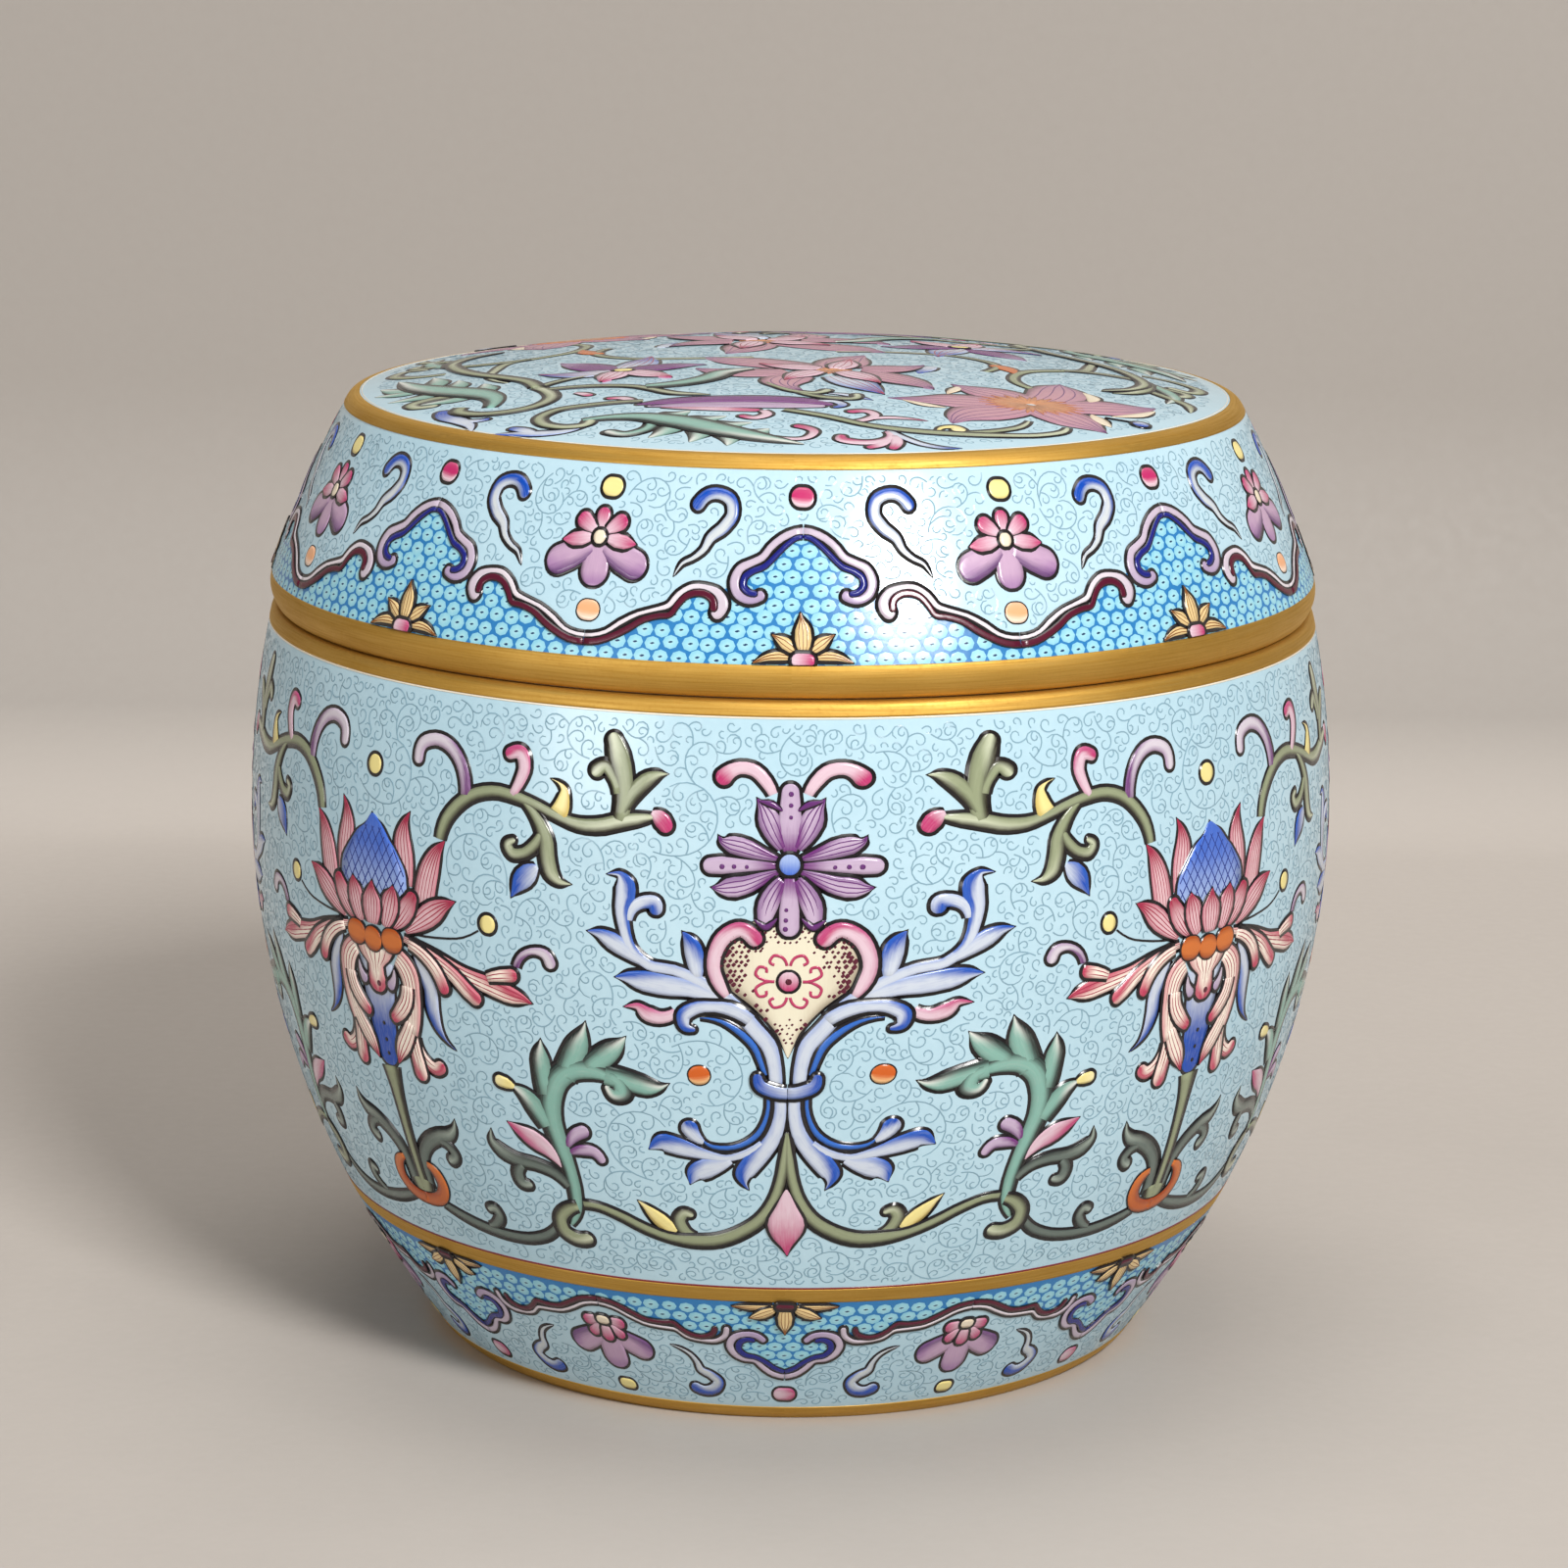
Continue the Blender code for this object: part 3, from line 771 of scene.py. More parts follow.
URN = brush("stipple", (0, 39.5, 0), (0, 43, 1.9), (0, 46.5, 5), (0, 49.5, 8.6), (0, 52.5, 9.7),
            (0, 55.5, 9.2), (0, 57.8, 6.5), (0, 59, 3), tip=PALE, rim=2)
ROSETTE_Y = 50.2
ROSETTE_REACH = 5.2
BODY_VASE = mirrored(ROSETTE_SCROLL + KNOT_RING) + (
    URN,
    dot("rose", 0, ROSETTE_Y, 1.55, layer=1, ink=0.8, tip=(0, 1)),
    dot("maroon", 0, ROSETTE_Y, 0.42, ink=0, layer=2, tip=DEEP),
    curl("violet", (0, 67.5, 0.9), (0, 70, 1.8), (0, 72.5, 1.75), (0, 75, 1.55), (0, 75.8, 1.45),
         tip=PETAL),
    curl("violet", (0, 64.6, 0.9), (0, 62, 1.3), (0, 60, 1.6), (0, 57.8, 1.6), layer=2, tip=PETAL),
    dot("bulb", 0, 66.2, 1.65, layer=3, tip=(0.1, 1)),
    dot("purple", 0.1, 75.6, 0.34, ink=0, layer=1),
    dot("purple", 0.1, 74.1, 0.3, ink=0, layer=1),
    dot("purple", 0.1, 72.5, 0.26, ink=0, layer=1),
    dot("purple", -0.4, 60.1, 0.26, ink=0, layer=3),
    dot("purple", -0.45, 58.7, 0.3, ink=0, layer=3),
    dot("purple", -0.5, 57.5, 0.34, ink=0, layer=3),
    brush("rose", (0, 18.8, 0.1), (0, 16, 1.8), (0, 13, 3.05), (0, 10.6, 2.2), (0.1, 9, 1), (0.2, 7.6, 0),
          layer=2, tip=(0.25, 1)),
)

LOTUS_X = 64.1
BULB = brush("bulb", (0, 52, 5.5), (0, 56, 7.2), (0, 58.5, 7.3), (0, 60.1, 6.9), (0, 61.5, 5.9),
             (0, 63.3, 4.4), (0, 65.2, 2.4), (-0.3, 66.9, 0), layer=1, tip=(0.2, 0.8))
BODY_LOTUS = (
    BULB,
    brush("lotus", (0, 51.3, 1.2), (0, 53.3, 2.1), (0, 55, 2.1), (0, 56.5, 1), (0.1, 57.5, 0), layer=4,
          veins=5),
    dot("orange", -0.1, 49.2, 2.0, 1.85, layer=4, rim=2, ink=0.4),
    dot("yellow", -0.4, 73.8, 1.6),
    curl("petal", (0, 48, 4.2), (0, 46.6, 3.3), (0, 45.2, 1.75), (0, 44.1, 1.95), (0, 43.3, 2.15), layer=2,
         tip=LATE, rim=2, veins=5),
    dot("maroon", 0.4, 42.8, 0.42, ink=0, layer=3, tip=DEEP),
    curl("blue", (0, 46, 4), (0, 42, 3.6), (0, 38, 3), (0, 34.5, 2.7), (0, 32.2, 2.2), tip=(0.1, 0.7)),
    dot("ink", 0.2, 36.8, 0.3, ink=0, layer=1, tip=DEEP),
    dot("ink", 0.2, 34.3, 0.3, ink=0, layer=1, tip=DEEP),
    dot("ink", 0.2, 32.2, 0.3, ink=0, layer=1, tip=DEEP),
    brush("olive", (0.1, 30.2, 2), (0.3, 27, 1.4), (0.4, 23, 1.1), (0.5, 18, 1), (0.5, 12, 1),
          (0.5, 9.6, 1.1), rim=1, layer=1, tip=PALE),
    brush("olive", (-1.2, 12, 1.3), (0, 9.9, 2.1), (1.4, 12, 1.3), rim=-1, layer=1, tip=PALE),
)

ROSY = (-0.1, 1.1)
SMALL_FLOWER_TOP = (brush("rose", (0, 0.9, 0.8), (0, 2.4, 1.3), (0, 3.1, 1.35), caps="E", tip=ROSY),)
SMALL_FLOWER_SIDE = (
    curl("rose", (0.8, 0.8, 0.6), (2.2, 1.7, 1.3), (3, 2.2, 1.45), layer=1, tip=ROSY),
    brush("rose", (1.1, -0.1, 0.6), (3.2, -0.4, 1.3), (4.7, -0.6, 1.05), (5.9, -0.7, 0.2), layer=1,
          tip=ROSY),
    curl("mauve", (1, -1.2, 1.4), (3.8, -2.5, 2.2), (6, -3.5, 2.3), rim=-1, tip=LATE),
)
SMALL_FLOWER_MIDDLE = (
    curl("mauve", (0, -1, 1.6), (0, -3.2, 2.4), (0, -4.6, 2.4), tip=LATE),
    dot("cream", 0, 0, 1.25, layer=2),
)

LID_HALF_PERIOD = 31.4
LID_HALF = (
    brush("blue_comma", (16.4, 21.6, 1.2), (14.8, 23, 1.1), (13, 23.1, 1.05), (11.3, 22.2, 1.15),
          (10.9, 20.3, 1.15), (12.1, 18.5, 1.1), (14.1, 16.9, 0.9), (14.9, 15.4, 0.7), (16.3, 14.2, 0.55),
          (18, 13.3, 0.45), (19, 11.7, 0), caps="S", rim=1, tip=(0.12, 0.42)),
    curl("lilac_band", (0, 18.1, 0.75), (2.9, 17.3, 0.75), (4.8, 15.9, 0.75), (6.1, 14.4, 0.75),
         (7.6, 13.7, 0.75), (9.3, 12.8, 0.85), (10, 11, 0.95), (9.5, 9.5, 0.9), (8, 8.7, 0.85),
         (6.2, 9.2, 0.95), layer=2, tip=LATE),
    curl("navy", (0, 17.25, 0.35), (0.8, 17.2, 0.38), (2.6, 16.1, 0.4), (4, 14.8, 0.42), (5.8, 13.15, 0.45),
         (7.6, 12.45, 0.48), (8.6, 11.6, 0.52), (8.7, 10.5, 0.55), (7.9, 9.7, 0.5), (7, 9.5, 0.45), layer=3,
         ink=0.3),
    curl("white_band", (31.4, 2.8, 0.5), (28.3, 3.4, 0.5), (26.2, 4.8, 0.55), (23.7, 6.15, 0.5),
         (21.2, 6.9, 0.5), (19.4, 7.5, 0.6), (18, 9.1, 0.65), (16.2, 10.2, 0.6), (14, 10.15, 0.65),
         (12.25, 9.4, 0.85), (11.5, 8, 1.05), (12.2, 6.9, 1.2), layer=2, tip=LATE),
    curl("maroon", (31.4, 1.95, 0.48), (29.4, 2.1, 0.48), (27.3, 2.85, 0.48), (25.1, 4, 0.48),
         (23, 5.35, 0.45), (20.8, 6.05, 0.42), (19, 6.35, 0.42), (18, 7.75, 0.45), (16.9, 8.9, 0.48),
         (15.5, 9.4, 0.5), (14, 9.25, 0.52), (13, 8.5, 0.55), (12.8, 7.5, 0.6), layer=3, ink=0.3, tip=DEEP),
    brush("yellow_flower", (1.4, 0.9, 0.5), (3.2, 1.2, 0.85), (5, 1, 0.7), (6.8, 0.3, 0), layer=3, veins=2),
    brush("yellow_flower", (1, 1.8, 0.6), (2.65, 3, 1.05), (3.6, 3.6, 0.6), (4.3, 4, 0), layer=4, veins=2),
)
LID_RUYI = (
    dot("rose_bead", -0.1, 22.8, 2.05, 1.65, rim=-1),
    brush("yellow_flower", (0, 1.8, 0.9), (0, 3.6, 1.45), (-0.1, 5.1, 1.2), (-0.3, 6.2, 0.5),
          (-0.4, 6.9, 0), layer=5, veins=3),
    dot("rose", 0, 0.6, 1.9, 1.2, layer=6, tip=(0, 1)),
)
LID_FLOWER_Y = 16.2
LID_FLOWER = (
    mirrored(moved_up(SMALL_FLOWER_SIDE, LID_FLOWER_Y))
    + moved_up(SMALL_FLOWER_TOP + SMALL_FLOWER_MIDDLE, LID_FLOWER_Y)
    + (
        dot("yellow", 0.6, 23.3, 2.0, 1.6),
        dot("peach", 0, 6.2, 1.85, 1.5, ink=0.4, rim=-1),
    )
)
# The honeycomb runs from a straight side, in the gold, to the curve under the cloud heads.
LID_SHEET_OUTER = -0.3
LID_SHEET_TOP = ((0, 18), (2.9, 17.2), (4.8, 15.8), (6.1, 14.3), (7.6, 13.6), (9.2, 12.6), (10, 10.6),
                 (12.2, 9.8), (14.7, 10.1), (17, 9), (18.6, 7.5), (20, 6.7), (21.8, 6.2), (24.3, 4.9),
                 (27, 3.3), (29.5, 2.7), (31.4, 2.7))

FOOT_HALF_PERIOD = 33.2
FOOT_FLOWER_Y = 19.7
FOOT_HALF = (
    curl("lilac_band", (0, 10.3, 0.75), (2.45, 11, 0.75), (4.1, 12.35, 0.75), (5.4, 13.8, 0.75),
         (7.7, 14.2, 0.8), (9.3, 15.3, 0.85), (9.9, 17, 0.9), (9.1, 18.6, 0.9), (7.3, 19.4, 0.85),
         (5, 19.2, 0.85), (3.9, 18.4, 0.8), layer=2, tip=LATE),
    curl("navy", (0, 11.4, 0.48), (2, 12.3, 0.48), (3.6, 13.6, 0.48), (5.4, 14.6, 0.5), (7.3, 15.05, 0.55),
         (8.3, 16.2, 0.6), (8.1, 17.6, 0.6), (6.9, 18.4, 0.52), (5.7, 18.3, 0.45), layer=3, ink=0.3),
    curl("white_band", (33.2, 23.1, 0.5), (30.3, 22.6, 0.5), (27.7, 21.3, 0.5), (25.1, 20.2, 0.5),
         (21.8, 19.8, 0.5), (19.4, 19.6, 0.5), (17.7, 18.3, 0.5), (14.7, 17.7, 0.55), (12.1, 17.9, 0.65),
         (10.6, 19, 0.75), (10.2, 20.4, 0.75), layer=2, tip=LATE),
    curl("maroon", (33.2, 24, 0.48), (30, 23.55, 0.48), (27.4, 22.35, 0.48), (24.8, 21.1, 0.48),
         (21.8, 20.85, 0.46), (19.55, 20.95, 0.46), (18.4, 19.85, 0.48), (16.6, 18.75, 0.5),
         (14.3, 18.6, 0.52), (12.7, 19.4, 0.55), (12.3, 20.3, 0.55), layer=3, ink=0.3, tip=DEEP),
    brush("yellow_flower", (2, 25.4, 0.5), (4.5, 25.1, 0.75), (7, 25.2, 0.6), (8.8, 25.3, 0), layer=3,
          veins=2),
    brush("yellow_flower", (1.8, 24.8, 0.7), (3.1, 24.2, 1.15), (4.5, 23.6, 1), (6, 23.1, 0), layer=4,
          veins=2),
    brush("blue_comma", (17.7, 6.65, 1.4), (16, 6.1, 1.35), (13.9, 6.8, 1.4), (13, 8.4, 1.25),
          (14.3, 9.9, 1.1), (16.1, 11, 0.95), (16.6, 12.7, 0.7), (17.6, 14.3, 0.55), (19.2, 15.4, 0.4),
          (20.9, 16, 0), caps="S", rim=-1, tip=(0.08, 0.42)),
)
FOOT_RUYI = (
    dot("rose", 0, 6, 2.45, 1.7, rim=2, tip=(0.2, 1.2)),
    brush("yellow_flower", (0, 25.1, 0.9), (0, 23.4, 1.5), (0, 21.7, 1.3), (0, 20.6, 0.6), (0, 19.9, 0),
          layer=5, veins=3),
    dot("maroon", 0, 25.5, 1.8, 0.75, layer=6, tip=PALE),
)
FOOT_FLOWER_SIDE = (
    curl("rose", (1.1, -0.1, 0.7), (2.6, -0.4, 1.35), (3, -0.5, 1.35), layer=1, tip=ROSY),
    curl("rose", (1, -1.2, 0.6), (2.3, -2.5, 1.25), (2.6, -2.8, 1.25), layer=1, tip=ROSY),
    curl("mauve", (1.4, -3, 1.8), (4.2, -4.6, 2.4), (6, -5.5, 2.5), rim=1, tip=LATE),
)
FOOT_FLOWER = mirrored(moved_up(FOOT_FLOWER_SIDE, FOOT_FLOWER_Y)) + moved_up(
    (
        curl("mauve", (0, -3, 2.2), (0, -6, 2.7), (0, -8.1, 2.7), tip=LATE),
        curl("rose", (0, -1, 0.8), (0, -3, 1.4), (0, -3.4, 1.4), layer=2, tip=ROSY),
        dot("cream", 0, 0, 1.5, 1.1, layer=3),
        dot("yellow", 0.4, -14.2, 2, 1.4),
    ),
    FOOT_FLOWER_Y,
)
FOOT_SHEET_OUTER = 26.3
FOOT_SHEET_LOW = ((0, 10.4), (2.9, 11.1), (4.7, 12.6), (6, 14.2), (8.1, 14.7), (9.4, 16.2), (10.3, 18.4),
                  (12, 18.3), (13.5, 17.7), (16.2, 17.7), (18.4, 18.6), (20.2, 20.2), (22, 20), (24.6, 20.1),
                  (27.3, 21.1), (30, 22.5), (33.2, 23.1))


TOP_STEMS = (
    brush("olive", (33.5, -22, 0.9), (31.5, -18, 0.9), (31.5, -13, 0.9), (33.5, -8, 1), (38, -4, 1),
          (42, -1, 1), (43.5, 5, 0.9), (44, 12, 0.7), (41, 18, 0.4)),
    brush("olive", (39, -3.4, 0.9), (46, -2.2, 1.1), (50.5, -4, 1.2), (50.8, -9, 1.3), (49.5, -14, 1.2),
          (47.5, -17, 0.8), (45.5, -18.5, 0), rim=-1, layer=1),
    brush("olive", (50.6, -12, 0.9), (54, -16, 1.3), (56, -19, 1.1), (56, -23.8, 0), rim=-1),
    curl("olive", (50.8, -8, 0.8), (54, -8, 1), (56.6, -9.8, 1.1), (56, -12, 1.1), rim=-1),
    brush("olive", (-1.5, -43.5, 0.8), (4, -46.5, 0.9), (10, -50.5, 0.9), (15, -52, 1), (21, -52.3, 1),
          (28, -51.3, 0.9), (34, -49, 0.8), (37, -46, 0.7), (37.5, -44, 0.5), layer=1),
    brush("olive", (21, -51.8, 0.8), (27, -49.5, 0.8), (31, -46, 0.7), (32.3, -42.5, 0.4)),
    curl("yellow", (19.6, -51.6, 0.5), (20.2, -49.6, 0.7), (21.8, -49, 1), (22.3, -50, 1.3)),
    curl("rose", (7.6, -48.8, 0.6), (10, -47.4, 0.9), (11, -45, 0.9), (9.9, -43.3, 1), (7.9, -43.7, 1),
         tip=LATE),
    brush("rose", (9.6, -47.8, 0.5), (12.6, -46.2, 0.8), (15.4, -46.2, 0.6), (18, -46.8, 0), tip=LATE),
    curl("rose", (12.6, -52.8, 0.8), (12.9, -55.6, 0.9), (11.2, -57.6, 1.1), (8.6, -58.1, 1.2),
         (6.4, -57, 1.2), (6.3, -55.8, 0.9), rim=-1, tip=LATE),
    curl("rose", (12.6, -56, 0.8), (11.8, -58.4, 1), (10.2, -60, 0.8), tip=LATE),
    curl("rose", (13.4, -54.5, 0.9), (13.8, -57.6, 1.1), (13.3, -59.8, 0.9), tip=LATE),
    brush("blue", (12.8, -52.4, 0.7), (14.8, -55.4, 0.8), (17.4, -57.8, 0.8), (20, -58.6, 0.6),
          (22.3, -58.3, 0), tip=LATE),
    curl("olive", (-21, -37.2, 0.8), (-28, -37.8, 1), (-33, -39.5, 1.1), (-35, -43, 1.1), (-34, -46.5, 1.1),
         (-31, -48.5, 1.1), (-28.5, -48, 1.1), (-28, -46.5, 1.1), rim=1, layer=1),
    brush("blue", (-28.8, -48.8, 0.6), (-31.5, -50.4, 1.1), (-35, -50.3, 1.4), (-38.4, -49.4, 1),
          (-41.2, -48.5, 0), rim=1, tip=LATE),
    curl("blue", (-35.5, -50, 0.8), (-37, -48, 1.15), (-38.3, -46.9, 1)),
    curl("rose", (-23.4, -38, 0.8), (-22.9, -36.4, 1), (-23.8, -34.8, 1), (-25.6, -34.4, 0.9), tip=LATE),
    curl("rose", (-31, -29.4, 0.4), (-29.8, -30.2, 0.9), (-28.9, -31.4, 0.95), tip=LATE),
    curl("olive", (-43, -22, 1.5), (-47.5, -23.3, 1.5), (-51.5, -23.7, 1.5), (-54, -25.6, 1.3),
         (-53.2, -27.8, 1.2), (-51, -28.3, 1.1), rim=1),
    brush("olive", (-46.5, -32, 1.1), (-47, -34, 1.2), (-44.5, -37, 1.2), (-40, -37.8, 1.2),
          (-36, -36, 1.2), (-34, -32, 1.2), (-34.5, -28, 1.2), (-36.5, -24, 1.1), rim=-1, layer=1),
    curl("blue", (-44.3, -46, 0), (-44.6, -43, 0.9), (-46.2, -39.6, 1.4), (-48.7, -36, 1.4),
         (-49.2, -33.4, 1.2), tip=(0.45, 0.9)),
    curl("blue", (-46, -39.4, 0.8), (-43.8, -40.6, 0.9), (-42.6, -40.4, 0.8)),
    brush("olive", (-36.5, -24, 1.1), (-38, -19, 1.1), (-41.5, -14, 1.1), (-46, -8, 1.1), (-49.5, 0, 1.1),
          (-50.5, 8, 1), (-48, 14, 0.7), (-44, 18, 0.2), rim=-1, layer=2),
    brush("olive", (-36.5, -24.5, 0.9), (-33, -20, 0.9), (-29, -17.5, 0.7), rim=-1, layer=1),
    brush("olive", (-35, -26, 0.9), (-27, -26, 1), (-22, -28, 1), (-20, -30, 1), (-17, -33, 1.1),
          (-12, -34.5, 0), rim=-1, layer=1),
    brush("leaf", (-21, -28, 1.2), (-15, -26, 1.9), (-12, -23, 2), (-10, -19, 1.9), (-6, -16, 0.8), rim=-1,
          layer=2),
    curl("olive", (-51, -3, 0.9), (-56.5, -1, 1.2), (-59, 3, 1.2), (-57.5, 7, 1.1), (-55, 6, 1.1), rim=-1),
    brush("leaf", (-50.4, 4, 1), (-53.5, 10, 1.6), (-54.5, 15, 1.2), (-53, 20, 0), rim=-1),
    brush("olive", (27.5, -11, 0.8), (29, -3, 0.9), (24, 3, 0.9), (15, 4.5, 0.9), (6, 3.5, 0.8), rim=1),
    brush("orange", (28.6, -4, 1), (30.6, -6.5, 1.7), (31.5, -9.4, 0.9), (31.8, -11.5, 0), ink=0.8),
    brush("blue", (20, -9.5, 0.9), (18.6, -12.8, 1.6), (17.8, -16, 0), tip=(0.2, 1)),
    curl("olive", (-4, -26.5, 0.7), (-2.4, -29.4, 0.9), (0, -32.5, 0.9), (3, -33.4, 0.9), (4.4, -31.8, 1),
         rim=1, layer=1),
    curl("olive", (0.5, -33, 0.7), (4.6, -36.2, 0.9), (8.4, -36.2, 0.9), (8.6, -34.2, 0.9), rim=1, layer=1),
    line("ink", (43, -36.2), (46.8, -36.6), layer=3),
    dot("blue", 48, -37.3, 1.4, layer=3, tip=(0, 1)),
)

FRONT_RIB = ((-29, -46), (-25, -45.2), (-22, -45), (-19, -46), (-16, -48), (-13, -50.5), (-10, -53),
             (-7, -55.3), (-4, -57))
LEFT_RIB = ((-42.5, -33), (-42.5, -28), (-45, -24), (-47.5, -21.5), (-50, -19), (-53, -15.5), (-55, -12))
TOP_LEAVES = (
    lobes("leaf", FRONT_RIB, ((-14.5, -43.6), (-9.5, -46.8), (-6, -50), (-3.6, -53)), 2.1, side=1)
    + lobes("leaf", FRONT_RIB, ((-19.5, -55.5), (-14, -58), (-9, -59.8)), 2.1, side=-1)
    + (
        brush("leaf", (-29, -46, 0.9), (-22, -45.6, 1.8), (-16, -48.8, 2.7), (-10, -53.4, 2.5),
              (-4, -57.2, 1.6), (1, -59.6, 0), rim=-1, layer=1, tip=LATE),
        curl("leaf", (-19.5, -48, 1), (-20.2, -52, 1.2), (-23, -53.6, 1.2), (-25, -52.4, 1.2), rim=1),
        curl("rose", (-3, -56.5, 0.6), (1.6, -56.8, 0.8), (2.6, -53.6, 0.9), (0.6, -51.6, 1)),
    )
    + lobes("leaf", LEFT_RIB, ((-59.6, -9.5), (-60, -15), (-57.5, -21.5), (-52.5, -26.5)), 2, side=-1)
    + lobes("leaf", LEFT_RIB, ((-52.5, -6), (-48.5, -11.5), (-44.5, -17)), 2, side=1)
    + (
        brush("leaf", (-42.5, -34, 1), (-42.5, -28, 1.8), (-45, -24, 2.6), (-50, -19, 2.6), (-55, -12, 1.8),
              (-57.5, -5, 0), rim=1, layer=1, tip=LATE),
    )
)

TOP_BIG_FLOWER = (
    *alike(
        brush, "mauve_petal",
        ((33.5, -32, 3), (36.4, -27, 4.2), (37.4, -22.5, 4.3), (37.6, -19.5, 3), (37.8, -17.4, 0.8),
         (37.9, -16.6, 0)),
        ((32.5, -32.5, 2.6), (29, -28.6, 4), (26.2, -27, 3.4), (23.6, -25, 1.4), (22.2, -23.6, 0)),
        ((34, -33, 3), (40.5, -31, 4), (45.5, -28.8, 3.9), (48.6, -27.2, 2), (50.8, -25.4, 0)),
        ((32, -33.5, 3), (26, -34.2, 4), (21.5, -34.6, 3.9), (17.6, -35, 2), (13.2, -35.1, 0)),
        ((33.5, -34, 3), (37, -38, 4.4), (39.5, -40.5, 3.8), (41.6, -42.6, 1.6), (42.8, -44, 0)),
        ((32, -35, 2.5), (28.5, -38.6, 3.9), (25, -41, 4.1), (22.8, -43.8, 2.4), (21.7, -47, 0)),
        veins=4,
    ),
    *alike(
        brush, "cream",
        ((23.4, -24.4, 0.1), (22.6, -27, 1.1), (21.4, -30.4, 0)),
        ((20.8, -39, 0.1), (18.4, -38.2, 1), (15.2, -36, 0)),
        ((50.6, -27.4, 0.1), (48.2, -31.4, 1.1), (44.4, -34.4, 0)),
        ((43.6, -40.4, 0.1), (42.2, -37.6, 1.5), (41.4, -35, 0)),
        ((41, -21.2, 0.1), (42.2, -24, 1.3), (41.4, -27.6, 0)),
    ),
)
TOP_MIDDLE_FLOWER = (
    brush("mauve_petal", (2, -14, 3), (-4, -10, 4.2), (-9, -7, 3.4), (-13, -4, 0), veins=4),
    brush("mauve_petal", (6, -14, 3), (7, -8, 4), (8.5, -3.5, 2.4), (10, -0.5, 0), veins=4),
    *alike(
        brush, "mauve_petal",
        ((-1, -18, 2.6), (-6, -19, 3.6), (-11, -17.5, 2.4), (-14, -15, 0)),
        ((1, -21, 2.6), (-1.5, -25.5, 3.6), (-1, -29.5, 1.8), (1, -32, 0)),
        layer=1, veins=4,
    ),
    brush("blue", (6, -21, 2.4), (8.5, -26, 3.2), (11, -30.5, 1.6), (12.4, -33, 0), layer=1, tip=(0.2, 1),
          veins=4),
    *alike(
        brush, "mauve_petal",
        ((9, -18, 2.6), (13.5, -21.5, 3.4), (17.2, -25, 2.2), (19.4, -28, 0)),
        ((9.5, -14.5, 2.4), (13.6, -14, 3), (16.6, -12, 1.6), (18.5, -9.6, 0)),
        layer=2, veins=4,
    ),
    *alike(
        brush, "rose",
        ((3.5, -15, 1.4), (0.5, -14, 2.6), (-3, -12.6, 1.4), (-5, -11, 0)),
        ((3.5, -17.5, 1.4), (1.2, -20, 2.4), (-0.6, -23, 1.2), (-1.4, -25, 0)),
        ((6, -15, 1.4), (7, -11.6, 2.4), (7.6, -8, 1.2), (8, -6, 0)),
        layer=2, veins=3,
    ),
    brush("rose", (6.5, -18, 1.4), (9, -21, 2.4), (11, -24, 1.2), (12, -26, 0), layer=3, veins=3),
)
TOP_EDGE_FLOWER = (
    brush("violet", (-21.5, -38.9, 0.6), (-16, -37.6, 1.9), (-9, -37.2, 2), (-2, -37.6, 2), (3, -39, 1.6),
          (4.6, -40, 1), caps="SE", tip=PALE, rim=1, veins=2),
    brush("violet", (-20, -40.2, 0.6), (-14, -40.4, 1.5), (-7, -40.6, 1.8), (-1, -41, 1.6),
          (3.6, -41.2, 0.9), caps="SE", tip=(-0.6, 0.1), veins=3),
    curl("rose", (-18.5, -41.2, 0.3), (-14.6, -42, 0.9), (-9.5, -42.9, 1.2), (-5.5, -43.6, 1), tip=LATE,
         veins=2),
    curl("rose", (-4.5, -43.8, 0.8), (-3.8, -46, 1), (-5.4, -47.6, 1), (-7, -46.8, 0.9), tip=LATE),
    curl("blue", (3, -38.4, 0.6), (5.8, -38.6, 0.9), (6.6, -40.2, 0.9), (5.6, -41.6, 0.6)),
    brush("blue", (4.4, -33.4, 0.3), (7, -34, 0.8), (9, -35.4, 0.8), (10.7, -36.8, 0), tip=LATE),
)
TOP_BLUE_FLOWER = (
    brush("violet", (-26, -14, 2), (-29.5, -10, 3), (-32, -7, 2), (-34, -4.4, 0), veins=4),
    brush("blue", (-24.5, -14, 2), (-22.5, -9, 3), (-21.5, -5, 1.8), (-21, -2, 0), tip=(0.1, 1), veins=4),
    brush("violet", (-23.5, -15, 2), (-19.5, -13, 2.8), (-15.6, -11.6, 1.6), (-13, -11.4, 0), layer=1,
          veins=4),
    brush("blue", (-26, -15.5, 2), (-30, -16.4, 2.6), (-34, -15.6, 1.4), (-36.6, -14, 0), layer=1,
          tip=(0.1, 1), veins=3),
    brush("rose", (-25, -16, 1.6), (-26.4, -20, 2.2), (-27.4, -23, 0), layer=2, veins=3),
    brush("rose", (-23.6, -16, 1.6), (-20.6, -19, 2.2), (-17.6, -21.6, 0), layer=2, veins=3),
    dot("yellow", -24.6, -15, 1.6, 1.2, layer=3),
)


def stamens(x, y, wide, high, count):
    """A tuft of short merged strokes that point out from the middle of an open flower."""
    out = []
    for index in range(count):
        angle = math.tau * (index + 0.3 * (index % 2)) / count
        start = 0.1 + 0.3 * (index % 3) / 2
        end = 0.84 + 0.16 * (index % 2)
        cos, sin = math.cos(angle), math.sin(angle)
        points = [(x + wide * share * cos, y + high * share * sin) for share in (start, 0.6 * end, end)]
        widths = (0.5, 0.45, 0)
        stroke = brush("stamen", *((*point, half) for point, half in zip(points, widths)), layer=1, ink=0)
        out.append(stroke)
    return tuple(out)


